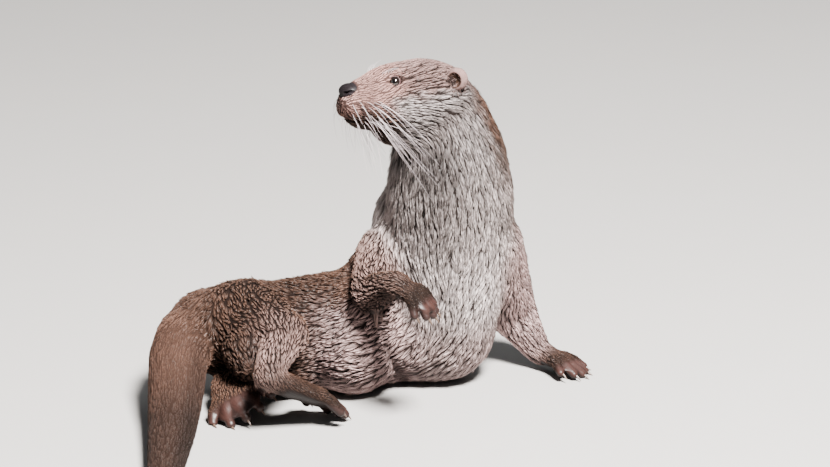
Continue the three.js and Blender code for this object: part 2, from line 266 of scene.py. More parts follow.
def paw(wrist, rows, length, width, thick, curl, palm, spread, furred):
    """A webbed paw with five toes. Each toe is three stations and the tip of its claw."""
    wrist = np.array(wrist[:3], float)

    def at(a, b, c):
        return wrist + np.array([a, b, c], float) @ rows

    mitten = union([
        (ball(at(palm * length * 0.8, 0, 0), [palm * length * 0.7, width * 0.4, thick * 0.9], rows), 1),
        (ball(at(palm * length * 0.3, 0, 0), [palm * length * 0.5, width * 0.3, thick], rows), 8),
        (ball(at(0.66 * length, 0, -curl * 0.2),
              [0.3 * length, width * (0.42 + spread * 0.4), thick * 0.42], rows), 8),
    ])
    toes = []
    for toe in (-2, -1, 0, 1, 2):
        side, reach = toe / 4 * width, length * (1 - 0.056 * toe * toe)
        drop = -thick * 0.15 - curl
        toes.append([
            [*at(palm * length, side * 0.62, thick * 0.25), thick * 0.62],
            [*at(0.72 * reach, side * (0.8 + spread), thick * 0.2 - curl * 0.25), thick * 0.5],
            [*at(0.95 * reach, side * (1 + spread * 1.5), drop), thick * 0.46],
            [*at(1.1 * reach, side * (1 + spread * 1.8), drop * 1.25 - thick * 0.1), 0],
        ])
    digits = [chain(toe[:3]) for toe in toes]
    pairs = [(mitten, 1)] + [(digit, 3) for digit in digits]
    field = near(union(pairs), at(length * 0.55, 0, 0), length * 0.75)
    return Paw(wrist, rows, length, thick, furred, toes, digits, field)


# The way each paw points and its upper side, its length, width and thickness, how far its toes curl
# down, the palm's part of its length, how far its toes spread and where along it the fur ends.
PAWS = {
    limb: paw(BONES[limb][2], axes(*facing), *shape) for limb, facing, shape in (
        ("arm_right", ([40, -20, -20], [0.5, -0.3, 0.9]), (52, 38, 10, 6, 0.42, 0.02, 0.62)),
        ("arm_left", ([50, -34, -13], [0.1, 0.1, 1]), (58, 40, 10, 1, 0.42, 0.12, 0.55)),
        ("leg_right", ([74, 56, -52], [0.3, 0.35, 0.9]), (112, 50, 12, 5, 0.56, 0.05, 0.66)),
        ("leg_left", ([20, -52, -10], [-0.45, -0.1, 0.9]), (62, 58, 12, 5, 0.5, 0.1, 0.5)),
    )
}


def lump(centre, radii):
    """An ellipsoid along the world's axes, worked out only close to it."""
    return near(ball(centre, radii, WORLD), centre, max(radii))


TRUNK_FIELDS = {name: chain(BODY_CHAINS[name]) for name in ("neck", "chest", "loin", "hips")}
# What melts into the trunk after its chains, in turn, and the width that each melts over.
MASSES = {
    "tail": (chain(BODY_CHAINS["tail"]), 6),
    "belly": (lump([-62, 6, 58], [52, 58, 60]), 8),
    "rump": (lump([-165, -12, 76], [46, 44, 42]), 14),
    "hamstring": (lump([-162, -58, 66], [30, 34, 34]), 14),
    "blade": (lump([-14, 46, 166], [30, 34, 40]), 14),
    "flank": (lump([-38, 50, 104], [34, 34, 40]), 16),
    "skull": (SKULL, 22),
}
# The regions of the trunk, each with the shapes it is made of, and then those of the limbs.
TRUNK = {
    "head": ["skull"], "neck": ["neck"], "chest": ["chest", "blade"], "loin": ["loin", "belly", "flank"],
    "hips": ["hips", "rump", "hamstring"], "tail": ["tail"],
}
REGIONS = [*TRUNK, *[f"{part}_{limb}" for limb in BONES for part in ("upper", "lower", "paw")]]
LIMB_FIELDS = {
    limb: [
        near(capsule(bones[0], bones[1]), np.add(bones[0][:3], bones[1][:3]) / 2, 75),
        near(capsule(bones[1], bones[2]), np.add(bones[1][:3], bones[2][:3]) / 2, 60),
        PAWS[limb].field,
    ]
    for limb, bones in BONES.items()
}


def anatomy(points):
    """The flesh's distance field, and the distance to each region's own shape as columns."""
    own = {name: field(points) for name, field in TRUNK_FIELDS.items()}
    body = np.min(list(own.values()), axis=0)
    for name, (field, k) in MASSES.items():
        own[name] = field(points)
        body = melt(body, own[name], k)
    flesh = body
    columns = [np.min([own[shape] for shape in shapes], axis=0) for shapes in TRUNK.values()]
    for upper, lower, foot in LIMB_FIELDS.values():
        near_upper, near_lower, near_foot = upper(points), lower(points), foot(points)
        limb = melt(np.minimum(near_upper, near_lower), near_foot, 6)
        flesh = np.minimum(flesh, melt(melt(body, near_upper, 14), limb, 3))
        columns += [near_upper, near_lower, near_foot]
    return np.column_stack([flesh, *columns])


def shares(distances, width=7.0):
    """How much of each region a point belongs to, from its distances to them all."""
    weights = np.exp((distances.min(axis=1, keepdims=True) - distances) / width)
    return weights / weights.sum(axis=1, keepdims=True)


def share_of(region, weights):
    """How far each point belongs to one region."""
    return weights[:, REGIONS.index(region)]


# -------- the coat's plan

def linear(rgb):
    """A display colour, 0 to 255, as linear light."""
    c = np.asarray(rgb, float) / 255
    return tuple(np.where(c <= 0.04045, c / 12.92, ((c + 0.055) / 1.055) ** 2.4))


def tones(settings):
    """A group's settings as arrays, so that its colours can be reckoned with."""
    return SimpleNamespace(**{name: np.array(getattr(settings, name)) for name in settings.__annotations__})


def colour_property(name, description, rgb):
    return bpy.props.FloatVectorProperty(
        name=name, description=description, default=linear(rgb), subtype="COLOR", size=3, min=0, max=1)


def number_property(name, description, value, low, high, **more):
    return bpy.props.FloatProperty(
        name=name, description=description, default=value, min=low, max=high, **more)


class OtterCoat(bpy.types.PropertyGroup):
    length: number_property("Length", "Length of the locks against their natural one", 1.0, 0.3, 2)
    density: number_property("Density", "Locks for each patch of skin against the full coat", 1.0, 0.1, 1.2)
    wetness: number_property(
        "Wetness", "How far neighbouring locks draw together into points", 0.94, 0, 1, subtype="FACTOR")
    # The gap colour is the locks' dark roots with painted shade down between the wet locks.
    gap: colour_property("Gaps", "Colour down between wet locks", (14, 8, 6))
    back: colour_property("Back", "Tips of the back, flanks and legs", (98, 70, 56))
    silver: colour_property("Throat", "Tips of the cheeks, throat and chest", (251, 236, 233))
    belly: colour_property("Belly", "Tips of the belly", (230, 194, 190))
    crown: colour_property("Crown", "Tips of the crown and brow", (142, 114, 109))
    muzzle: colour_property("Muzzle", "Short hair round the eyes and on the muzzle", (168, 129, 120))
    tail: colour_property("Tail", "Sleek hair of the tail", (79, 56, 46))


class OtterSkin(bpy.types.PropertyGroup):
    cell: number_property(
        "Cell", "Spacing of the skin's points on the body", 2.7 * MM, 0.0015, 0.006, unit="LENGTH")
    bare: colour_property("Bare toes", "Bare skin of the toes", (37, 22, 19))
    sole: colour_property("Soles", "Pads under the feet", (29, 18, 16))
    lid: colour_property("Eyelids", "Bare rim of the eyelids", (88, 64, 64))
    nose: colour_property("Nose", "Bare nose pad", (16, 12, 14))
    claw: colour_property("Claws", "Horn of the claws", (58, 44, 36))
    eye: colour_property("Iris", "Iris of the eye", (13, 8, 6))


class OtterWhiskers(bpy.types.PropertyGroup):
    rows: bpy.props.IntProperty(
        name="Rows", description="Rows on each side of the muzzle", default=5, min=1, max=8)
    length: number_property("Length", "Length of the longest whisker", 0.088, 0.02, 0.12, unit="LENGTH")
    thickness: number_property(
        "Thickness", "Width of a whisker at its root", 0.0003, 0.0002, 0.001, unit="LENGTH")
    colour: colour_property("Colour", "Pale horn colour of the whiskers", (158, 147, 149))


class OtterStage(bpy.types.PropertyGroup):
    distance: number_property("Distance", "Camera distance from the animal", 4.0, 1, 10, unit="LENGTH")
    height: number_property(
        "Height", "Camera angle above the horizon", math.radians(18), 0, math.radians(80), subtype="ANGLE")
    floor: colour_property("Floor", "Plain floor", (131, 129, 127))
    key: number_property("Key light", "Power of the overhead light", 1240, 0, 5000, unit="POWER")
    fill: number_property("Fill light", "Power of the side light", 14, 0, 500, unit="POWER")
    air: number_property("Air light", "Strength of the even light all round", 0.22, 0, 5)


# What each region's hair is like: length, width and depth in millimetres, the spread of its lie in
# radians, locks for each square millimetre, the width of a wet clump in millimetres and how many times
# longer it runs, how far its tips meet in one point, and how far some of its tips stand off.
Hair = namedtuple("Hair", "length width depth spread density clump run point lift")
DEPTH = Hair._fields.index("depth")
HAIR = {
    "head": Hair(5.8, 0.55, 1.2, 0.10, 0.72, 2.2, 3.4, 0.4, 0.35),
    "neck": Hair(12.5, 0.64, 2.7, 0.10, 0.52, 2.8, 4.4, 0.45, 1.7),
    "chest": Hair(11.5, 0.78, 2.9, 0.15, 0.44, 3.3, 3.0, 0.6, 1.3),
    "loin": Hair(10.0, 0.84, 2.7, 0.24, 0.44, 3.1, 3.0, 0.55, 1.0),
    "hips": Hair(8.4, 0.84, 2.7, 0.29, 0.44, 2.9, 2.0, 0.9, 1.6),
    "tail": Hair(6.8, 0.6, 0.9, 0.06, 0.70, 2.2, 6.0, 0.4, 0.2),
    "upper_arm_right": Hair(8.0, 0.9, 2.2, 0.18, 0.48, 2.7, 2.8, 0.6, 1.2),
    "lower_arm_right": Hair(6.0, 0.8, 1.5, 0.12, 0.50, 2.3, 3.2, 0.4, 0.5),
    "upper_arm_left": Hair(8.0, 0.9, 2.2, 0.13, 0.48, 2.7, 3.2, 0.4, 0.8),
    "lower_arm_left": Hair(6.0, 0.8, 1.5, 0.12, 0.50, 2.3, 3.2, 0.4, 0.5),
    "upper_leg_right": Hair(8.0, 0.95, 2.5, 0.28, 0.48, 2.9, 1.9, 0.9, 1.4),
    "lower_leg_right": Hair(6.2, 0.8, 1.7, 0.14, 0.50, 2.4, 3.0, 0.5, 0.5),
    "upper_leg_left": Hair(8.0, 0.95, 2.3, 0.24, 0.40, 2.9, 2.2, 0.8, 1.2),
    "lower_leg_left": Hair(6.0, 0.8, 1.6, 0.14, 0.44, 2.4, 3.0, 0.5, 0.5),
}
PAW_HAIR = Hair(2.9, 0.6, 0.7, 0.1, 1.5, 1.8, 2.0, 0.3, 0.1)
HAIR_TABLE = np.array([HAIR.get(name, PAW_HAIR) for name in REGIONS])
MUZZLE_HAIR = np.array(Hair(3.4, 0.40, 0.80, 0.15, 2.5, 1.7, 2.6, 0.5, 0.25))
CHEEK_HAIR = np.array(Hair(9.0, 0.52, 1.8, 0.11, 0.78, 2.5, 4.6, 0.4, 0.7))
EAR_HAIR = np.array(Hair(2.8, 0.36, 0.5, 0.15, 4.4, 1.3, 1.6, 0.3, 0.1))

# The way the pale underside of each region faces, and the facings where it starts and is full.
UNDERSIDE = {
    "neck": (unit([-0.45, -0.9, 0]), -0.2, 0.45),
    "chest": (unit([-0.1, -1, 0.05]), -0.3, 0.35),
    "loin": (unit([0.1, -0.85, -0.5]), -0.2, 0.4),
}
HEAD_SHADE = unit([-0.9, -0.45, 0])  # the side of the throat that lies in the shade of the head
Plan = namedtuple("Plan", [*Hair._fields, "tip", "root", "bare"])


def in_head(points):
    """Points in the head's own axes, forward, left and up from its centre."""
    return (points - HEAD_CENTRE) @ HEAD.T


def blend(a, b, t):
    """a turned into b by the share t of each row, where each is one row or one for every t."""
    t = np.asarray(t)[:, None]
    return a * (1 - t) + b * t


def marked(base, marks):
    """A colour turned step by step into others by a share of each, where a number darkens what is there."""
    for colour, amount in marks:
        base = blend(base, base * colour if np.ndim(colour) == 0 else colour, amount)
    return base


def toe_share(points):
    """How far each point is bare toe or sole, how far sole, and how far a web between toes."""
    bare, sole, web = np.zeros((3, len(points)))
    for foot in PAWS.values():
        close = np.flatnonzero(away_from(foot.wrist, points) < 1.4 * foot.length)
        if not len(close):
            continue
        f, _, u = ((points[close] - foot.wrist) @ foot.rows.T).T
        on_paw = smooth(foot.field(points[close]), 5, 2.5)
        toes = smooth(f / foot.length, foot.furred, foot.furred + 0.2)
        under = smooth(-u / foot.thick, 0.1, 0.5) * smooth(f / foot.length, 0.08, 0.25)
        off_toes = np.min([digit(points[close]) for digit in foot.digits], axis=0)
        bare[close] = np.maximum(bare[close], on_paw * np.maximum(toes, under))
        sole[close] = np.maximum(sole[close], on_paw * under)
        web[close] = np.maximum(web[close], on_paw * smooth(off_toes, 0.2, 2.2))
    return bare, sole, web


def head_hair(points, share):
    """How far a point wears the short hair of the muzzle, and the long hair of the cheeks."""
    f, _, u = in_head(points).T
    return share * smooth(f, 42, 74), share * smooth(f, 50, 30) * smooth(u, 14, 0)


def whisker_roots():
    """[forward, left, up, column, row] of the whiskers on the left of the muzzle."""
    rng = np.random.default_rng(3)
    roots = []
    for row in range(bpy.context.scene.otter_whiskers.rows):
        for column in range(7):
            f = 98 - 4.4 * column - 1.2 * row + rng.normal(0, 0.5)
            u = 1.5 - 3.4 * row - 0.5 * column + rng.normal(0, 0.4)
            roots.append([f, 15 + 0.9 * column - 0.9 * row, u, column, row])
    return np.array(roots)


def coat_plan(points, normals, weights):
    """The hair, and the markings with painted shade, at each point of the skin, from its place and the way
    it faces.
    """
    coat, skin = tones(bpy.context.scene.otter_coat), tones(bpy.context.scene.otter_skin)
    hair = weights @ HAIR_TABLE
    share = {name: weights[:, i] for i, name in enumerate(REGIONS)}
    f, s, u = in_head(points).T
    muzzle, cheek = head_hair(points, share["head"])
    hair = blend(blend(hair, CHEEK_HAIR, cheek), MUZZLE_HAIR, muzzle)

    ragged = 0.12 * waves(points, 14, 21)
    under = {name: share[name] * smooth(normals @ way + ragged, low, high)
             for name, (way, low, high) in UNDERSIDE.items()}
    facing = smooth(-normals[:, 1], -0.3, 0.4)
    arms = {limb: share[f"upper_{limb}"] + share[f"lower_{limb}"] for limb in ("arm_left", "arm_right")}
    tip = marked(coat.back, [
        (coat.silver * 0.58, under["neck"]),
        (coat.silver, under["chest"]),
        (coat.belly, under["loin"]),
        (0.12, 0.92 * (share["neck"] * smooth(normals @ HEAD_SHADE, 0.0, 0.65))),
        (coat.crown, 0.45 * share["neck"] * smooth(normals[:, 1], 0.1, 0.7)),
        (0.25, 0.85 * (share["chest"] + share["loin"]) * crease(points)[1]),
        (0.6, share["chest"] * smooth(points[:, 2], 95, 55)),
        (0.45, share["hips"] + share["upper_leg_right"]),
        (coat.belly, arms["arm_left"] * facing),
        (coat.belly, 0.25 * arms["arm_right"] * facing),
        (coat.back * 0.4, 0.75 * share["lower_arm_right"]),
        (coat.belly, 0.3 * share["lower_leg_right"] * facing),
        (coat.tail, share["tail"]),
        (0.36, share["tail"] * smooth(-points[:, 1], 70, 190)),
        # Painted shade: the tail darker on its side that faces +X.
        (0.55, share["tail"] * smooth(normals[:, 0], 0.2, 0.8)),
    ])

    spot_distance = np.full(len(points), 99.0)
    front = np.flatnonzero(f > 55)
    for spot in whisker_roots():
        away = np.hypot(f[front] - spot[0], u[front] - spot[2])
        spot_distance[front] = np.minimum(spot_distance[front], away)
    pale = smooth(u + 3 * waves(points, 12, 22), 13, -2) * smooth(f, 86, 60) * smooth(f, -42, -12)
    face = marked(coat.crown, [
        (coat.silver * 0.54, pale),
        (coat.muzzle, smooth(f + 2 * waves(points, 9, 23) - 18 * smooth(u, 13, 2), 40, 60)),
        # Painted shade: darker under the nose and along the lips, and on the underside of the jaw.
        (coat.back * 0.8, 0.7 * smooth(u, -3, -11) * smooth(f, 68, 84)),
        (coat.back * 0.45, smooth(u, -11, -18) * smooth(f, 50, 66)),
        (0.18, 0.95 * smooth(spot_distance, 2.2, 1.1) * (np.abs(s) > 8)),
    ])
    dark_paw = share["paw_arm_right"] + share["paw_arm_left"] * 0.8 + share["paw_leg_right"] * 0.5
    tip = marked(tip, [(face, share["head"]), (coat.back * 0.17, np.clip(dark_paw, 0, 1))])
    # Roots start from the gap colour: dark roots with painted shade down between the locks.
    root = marked(coat.gap, [
        (tip * 0.3, 0.03 + 0.03 * smooth(tip[:, 1], 0.3, 0.7)),
        (tip * 0.09, muzzle * (1 - 0.5 * pale)),
        (tip * 0.36, share["tail"] * 0.9),
    ])

    bare, sole, web = toe_share(points)
    flesh = marked(skin.bare, [(skin.sole, sole), (0.4, web)])
    root, tip = blend(root, flesh, bare), blend(tip, flesh, bare)
    return Plan(*hair.T, tip, root, bare)


def depth_at(weights, points):
    """How far the skin lies under the tips of the hair."""
    depth = weights @ HAIR_TABLE[:, DEPTH]
    muzzle, cheek = head_hair(points, share_of("head", weights))
    depth = depth + (CHEEK_HAIR[DEPTH] - depth) * cheek
    return depth + (MUZZLE_HAIR[DEPTH] - depth) * muzzle


def face_folds(points):
    """How far the face is pressed in along the line of the lips and in the groove under the nose."""
    f, s, u = in_head(points).T
    lip = -14 - 2.5 * smooth(f, 98, 80) + 3 * smooth(f, 72, 58)
    lips = 1.7 * np.exp(-((u - lip) / 1.3) ** 2) * smooth(f, 56, 64)
    groove = 1.1 * np.exp(-(s / 1.0) ** 2) * smooth(f, 94, 99) * smooth(u, 9, 3) * smooth(u, -16, -12)
    return lips + groove


CREASE = np.array([[-41.0, 98.0], [-13.0, 8.0]])  # [x, z] of its upper and lower ends from the front
CREASE_DEPTH = 5.0


def crease(points):
    """How deep a point lies in the fold where the belly presses against the chest, and in its shade."""
    start, along = CREASE[0], CREASE[1] - CREASE[0]
    q = points[:, [0, 2]] - start
    t = q @ along / (along @ along)
    beside = q @ np.array([-along[1], along[0]]) / np.linalg.norm(along)
    here = smooth(t, -0.08, 0.12) * smooth(t, 1.15, 0.95)
    here = here * smooth(points[:, 1], 30, 5) * smooth(points[:, 1], -66, -56)
    return here * np.exp(-(beside / 4.5) ** 2), here * np.exp(-((beside - 6) / 9) ** 2)


NOSE_BALL = head_ball(*NOSE, NOSE_SIZE)
NOSE_BED = near(head_ball(*NOSE, [r - 3 for r in NOSE_SIZE]), head(*NOSE), 10)
FLOOR_GAP = 0.25  # millimetres between the skin's underside and the floor


def skin_field(points):
    """Distance to the bare skin: the flesh less the coat's depth, flattened on the floor."""
    found = anatomy(points)
    weights = shares(found[:, 1:])
    d = found[:, 0] + depth_at(weights, points) + share_of("head", weights) * face_folds(points)
    d += CREASE_DEPTH * (share_of("chest", weights) + share_of("loin", weights)) * crease(points)[0]
    for e in (1, -1):
        d = np.maximum(d, EYE_RADIUS + 0.2 - away_from(head(EYE[0], EYE[1] * e, EYE[2]), points))
    d = np.maximum(d, -NOSE_BED(points))
    return np.maximum(d, FLOOR_GAP - points[:, 2])


def gradient(field, points, step=0.5):
    """The unit outward direction of a field at each point."""
    parts = [chunked(field, points + step * axis) - chunked(field, points - step * axis) for axis in WORLD]
    return unit(np.column_stack(parts))


# -------- from fields to meshes

def surface_net(field, low, high, cell, coarse=4):
    """Points and four-sided faces of a field's zero surface, with one point in each cell it crosses.

    Only the coarse blocks that the surface may come near are worked out in full."""
    low = np.asarray(low, float)
    blocks = np.ceil((np.asarray(high) - low) / (cell * coarse)).astype(int)
    grid = np.stack(np.meshgrid(*map(np.arange, blocks), indexing="ij"), -1)
    middles = low + (grid + 0.5) * cell * coarse
    rough = chunked(field, middles.reshape(-1, 3)).reshape(blocks)
    values = rough.repeat(coarse, 0).repeat(coarse, 1).repeat(coarse, 2)
    close = np.argwhere(np.abs(values) < 1.6 * coarse * cell)
    values[tuple(close.T)] = chunked(field, low + close * cell)

    inside = values < 0
    count = np.array(values.shape) - 1
    corners = [np.array(c) for c in np.ndindex(2, 2, 2)]
    windows = [tuple(slice(a, a + n) for a, n in zip(corner, count)) for corner in corners]
    total = sum(inside[window].astype(np.int8) for window in windows)
    cells = np.argwhere((total > 0) & (total < 8))
    number = np.full(count, -1)
    number[tuple(cells.T)] = np.arange(len(cells))
    place, hits = np.zeros((len(cells), 3)), np.zeros(len(cells))
    for axis in range(3):
        for corner in corners:
            if corner[axis]:
                continue
            a = values[tuple((cells + corner).T)]
            b = values[tuple((cells + corner + WORLD[axis].astype(int)).T)]
            crossed = (a < 0) != (b < 0)
            t = a[crossed] / (a[crossed] - b[crossed])
            place[crossed] += corner + WORLD[axis] * t[:, None]
            hits[crossed] += 1
    points = low + (cells + place / hits[:, None]) * cell

    faces = []
    for axis in range(3):
        u, v = np.eye(3, dtype=int)[[(axis + 1) % 3, (axis + 2) % 3]]
        ahead = np.roll(inside, -1, axis)
        edges = np.argwhere(inside != ahead)
        edges = edges[(edges > 0).all(1) & (edges < count).all(1)]
        quad = np.column_stack([number[tuple((edges - o).T)] for o in (u * 0, u, u + v, v)])
        leaving = inside[tuple(edges.T)]
        faces.append(np.where(leaving[:, None], quad, quad[:, ::-1]))
    return points, np.concatenate(faces)


def refined(points, faces, wanted):
    """A mesh with each face whose middle passes the wanted test cut in four."""
    mesh = bpy.data.meshes.new("refining")
    mesh.from_pydata(points, [], faces)
    bm = bmesh.new()
    bm.from_mesh(mesh)
    bpy.data.meshes.remove(mesh)
    middles = np.array([f.calc_center_median() for f in bm.faces])
    picked = wanted(middles)
    edges = {e for f, chosen in zip(bm.faces, picked) if chosen for e in f.edges}
    bmesh.ops.subdivide_edges(bm, edges=list(edges), cuts=1, use_grid_fill=True)
    bmesh.ops.triangulate(bm, faces=[f for f in bm.faces if len(f.verts) > 4])
    points = np.array([v.co for v in bm.verts])
    faces = [[v.index for v in f.verts] for f in bm.faces]
    bm.free()
    return points, faces


def settled(field, points, rounds=2, most=2.0):
    """Points slid along the field's slope onto its surface."""
    for _ in range(rounds):
        step = np.clip(chunked(field, points), -most, most)
        points = points - gradient(field, points) * step[:, None]
    return points


def mesh_object(name, points, faces, material):
    """A piece of the animal from millimetre points, riding on the frame's one body."""
    mesh = bpy.data.meshes.new(name)
    mesh.vertices.add(len(points))
    mesh.vertices.foreach_set("co", to_row(points).astype(np.float32).ravel())
    mesh.loops.add(faces.size)
    mesh.loops.foreach_set("vertex_index", faces.astype(np.int32).ravel())
    mesh.polygons.add(len(faces))
    mesh.polygons.foreach_set("loop_start", np.arange(0, faces.size, faces.shape[1], dtype=np.int32))
    mesh.update(calc_edges=True)
    mesh.polygons.foreach_set("use_smooth", np.ones(len(mesh.polygons), bool))
    mesh.update()
    mesh.materials.append(material)
    piece = bpy.data.objects.new(name, mesh)
    bpy.context.scene.collection.objects.link(piece)
    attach(piece, "root")
    return piece


def paint(mesh, name, colours):
    """A colour for each point of a mesh, kept under a name."""
    layer = mesh.color_attributes.new(name, "FLOAT_COLOR", "POINT")
    rgba = np.ones((len(mesh.vertices), 4), np.float32)
    rgba[:, :3] = colours
    layer.data.foreach_set("color", rgba.ravel())


def tube(points, radii, sides):
    """A closed round bar through points: its own points and triangles."""
    points, radii = np.asarray(points, float), np.asarray(radii, float)
    along = unit(np.gradient(points, axis=0))
    side = unit(np.cross(along[0], [0.3, 0.5, 0.8]))
    rings = []
    for p, t, r in zip(points, along, radii):
        side = unit(side - t * (side @ t))
        other = np.cross(t, side)
        turn = np.linspace(0, 2 * math.pi, sides, endpoint=False)[:, None]
        rings.append(p + r * (np.cos(turn) * side + np.sin(turn) * other))
    count = len(points)
    verts = np.concatenate(rings + [points[:1], points[-1:]])
    faces = []
    first, last = count * sides, count * sides + 1
    for s in range(sides):
        n = (s + 1) % sides
        faces.append([first, n, s])
        faces.append([last, (count - 1) * sides + s, (count - 1) * sides + n])
        for r in range(count - 1):
            a, b = r * sides, (r + 1) * sides
            faces.append([a + s, a + n, b + n])
            faces.append([a + s, b + n, b + s])
    return verts, np.array(faces)


def joined(parts):
    """Several (points, triangles) pairs as one."""
    points, faces, at = [], [], 0
    for p, f in parts:
        points.append(p)
        faces.append(np.asarray(f) + at)
        at += len(p)
    return np.concatenate(points), np.concatenate(faces)


# -------- shader maths

class Value:
    """A shader socket that adds Math nodes when it is used in an expression."""

    def __init__(self, shader, socket):
        self.shader = shader
        self.socket = socket

    def _math(self, operation, *values):
        return self.shader.node("ShaderNodeMath", {"operation": operation}, dict(enumerate(values)))

    def __add__(self, other):
        return self._math("ADD", self, other)

    __radd__ = __add__

    def __sub__(self, other):
        return self._math("SUBTRACT", self, other)

    def __rsub__(self, other):
        return self._math("SUBTRACT", other, self)

    def __mul__(self, other):
        return self._math("MULTIPLY", self, other)

    __rmul__ = __mul__


class Shader:
    """A node material: node() adds any node, and the surface's sockets are set by name."""

    def __init__(self, name, **plain):
        self.material = bpy.data.materials.new(name)
        self.material.use_nodes = True
        self.tree = self.material.node_tree
        self.surface = self.tree.nodes["Principled BSDF"]
        for socket, value in plain.items():
            self.surface.inputs[socket.replace("_", " ")].default_value = value

    def node(self, kind, settings=None, sockets=None, output=0):
        """A node's output, once its settings are set and its sockets are given values or links."""
        node = self.tree.nodes.new(kind)
        for key, value in (settings or {}).items():
            setattr(node, key, value)
        for key, value in (sockets or {}).items():
            self.put(node.inputs[key], value)
        return Value(self, node.outputs[output])

    def put(self, socket, value):
        if isinstance(value, Value):
            self.tree.links.new(value.socket, socket)
        else:
            socket.default_value = value

    def set(self, **sockets):
        for name, value in sockets.items():
            self.put(self.surface.inputs[name.replace("_", " ")], value)
        return self.material

    def painted(self, name):
        """A colour that was painted on the mesh's points."""
        return self.node("ShaderNodeAttribute", {"attribute_type": "GEOMETRY", "attribute_name": name})

    def noise(self, scale, detail=3.0, rough=0.5):
        """Even noise in the piece's own space, about 0 to 1."""
        place = self.node("ShaderNodeTexCoord", output=3)
        return self.node("ShaderNodeTexNoise", {"normalize": True},
                         {"Vector": place, "Scale": scale, "Detail": detail, "Roughness": rough})

    def cells(self, scale):
        """Distance from the middle of small rounded cells in the piece's own space."""
        place = self.node("ShaderNodeTexCoord", output=3)
        return self.node("ShaderNodeTexVoronoi", {"feature": "F1"}, {"Vector": place, "Scale": scale})

    def tinted(self, colour, amount):
        """A colour made lighter or darker by a value: 1 leaves it as it is."""
        grey = self.node("ShaderNodeCombineXYZ", None, {0: amount, 1: amount, 2: amount})
        return self.node("ShaderNodeVectorMath", {"operation": "MULTIPLY"}, {0: colour, 1: grey})

    def mixed(self, a, b, factor):
        """A colour that goes from a to b with a value from 0 to 1."""
        colours = {0: factor, 6: (*a, 1), 7: (*b, 1)}
        return self.node("ShaderNodeMix", {"data_type": "RGBA"}, colours, output=2)

    def bumped(self, height, strength, distance):
        relief = {"Strength": strength, "Distance": distance, "Height": height}
        return self.node("ShaderNodeBump", None, relief)


def coat_material():
    shader = Shader("wet_fur", Specular_IOR_Level=0.14, Coat_Weight=0.11, Coat_Roughness=0.22)
    colour = shader.tinted(shader.painted("markings"), 0.8 + 0.4 * shader.noise(900, 2))
    return shader.set(Base_Color=colour, Roughness=0.42 + 0.25 * shader.noise(320, 2))


def skin_material():
    shader = Shader("skin", Specular_IOR_Level=0.05, Coat_Roughness=0.36)
    grain = shader.noise(1400, 4)
    creases = shader.cells(520)
    bare = shader.painted("bare")
    colour = shader.tinted(shader.painted("markings"), 0.82 + 0.36 * shader.noise(260, 5))
    height = grain * 0.6 + creases * (0.9 * bare)
    return shader.set(
        Base_Color=colour,
        Roughness=0.85 - 0.4 * bare + 0.12 * grain,
        Coat_Weight=0.22 * bare,
        Normal=shader.bumped(height, 0.6, 0.0007),
    )


def nose_material(colour):
    shader = Shader("nose_pad", Specular_IOR_Level=0.08, Coat_Roughness=0.25, Coat_Weight=0.05)
    pebbles = shader.cells(1500)
    tint = shader.mixed([c * 1.5 for c in colour], [c * 0.5 for c in colour], pebbles * 1.6)
    return shader.set(
        Base_Color=tint,
        Roughness=0.45 + 0.2 * shader.noise(700, 3),
        Normal=shader.bumped(1 - pebbles, 0.5, 0.0004),
    )


def claw_material(colour):
    shader = Shader("claw_horn", Specular_IOR_Level=0.5)
    tone = shader.mixed([c * 0.6 for c in colour], [min(c * 1.7, 1) for c in colour], shader.noise(420, 4))
    return shader.set(Base_Color=tone, Roughness=0.3 + 0.15 * shader.noise(900, 2))


def eye_material():
    shader = Shader("eye_gloss", Specular_IOR_Level=0.5, Coat_Weight=0.5, Coat_Roughness=0.03)
    colour = shader.tinted(shader.painted("markings"), 0.7 + 0.6 * shader.noise(1500, 4))
    return shader.set(Base_Color=colour, Roughness=0.06 + 0.05 * shader.noise(400, 2))


def whisker_material(colour):
    shader = Shader("whisker", Specular_IOR_Level=0.6)
    tone = shader.mixed([c * 0.75 for c in colour], colour, shader.noise(120, 2))
    return shader.set(Base_Color=tone, Roughness=0.3 + 0.1 * shader.noise(600, 2))


# -------- skin

BODY = {}  # what the skin leaves for the coat: its points and triangles and what is known of each point

FLESH_NODES = [
    "head", "ear_left", "ear_right", "neck", "chest", "belly", "hips", "tail_base", "tail_middle",
    "tail_tip",
    *[f"{part}_{side}" for side in ("left", "right")
      for part in ("upper_arm", "forearm", "forepaw", "thigh", "shank", "hindfoot")],
]
LID_STEPS, LID_SIDES = 56, 10  # points along a rim and round it
OPENING = (5.5, 4.75, 4.6)  # half the eye's opening: across, above the middle and below it
PUPIL_EDGE = (17, 21)  # degrees from the way the eye looks
IRIS_EDGE = (46, 52)
Ear = namedtuple("Ear", "middle rows field bowl")


def ear(e):
    """A rounded, cupped ear with a thick rim and a fold inside its front edge."""
    rows = axes(HEAD[0] * 0.72 + HEAD[1] * 0.68 * e, HEAD[2])
    middle = head(EAR[0], EAR[1] * e, EAR[2])
    shell = ball(middle, np.array(EAR_SIZE) - 0.5, rows)
    front = -rows[1] * e
    bowl = ball(middle + rows[0] * 4.4 - rows[2] * 1.0 + front * 2.6, EAR_BOWL, rows)
    fold = capsule([*(middle + rows[0] * 1.5 - rows[2] * 8 + front * 3), 2.6],
                   [*(middle + rows[0] * 0.2 - rows[2] * 4 + front * 5), 1.3])

    def field(points):
        cup = -melt(-shell(points), bowl(points), 2.4)
        return melt(cup, fold(points), 1.5)

    return Ear(middle, rows, near(field, middle, 12), bowl)


EARS = [ear(e) for e in (1, -1)]


def pelt_field(points):
    """Distance to the bare skin with its ears."""
    return np.min([skin_field(points), *(ear.field(points) for ear in EARS)], axis=0)


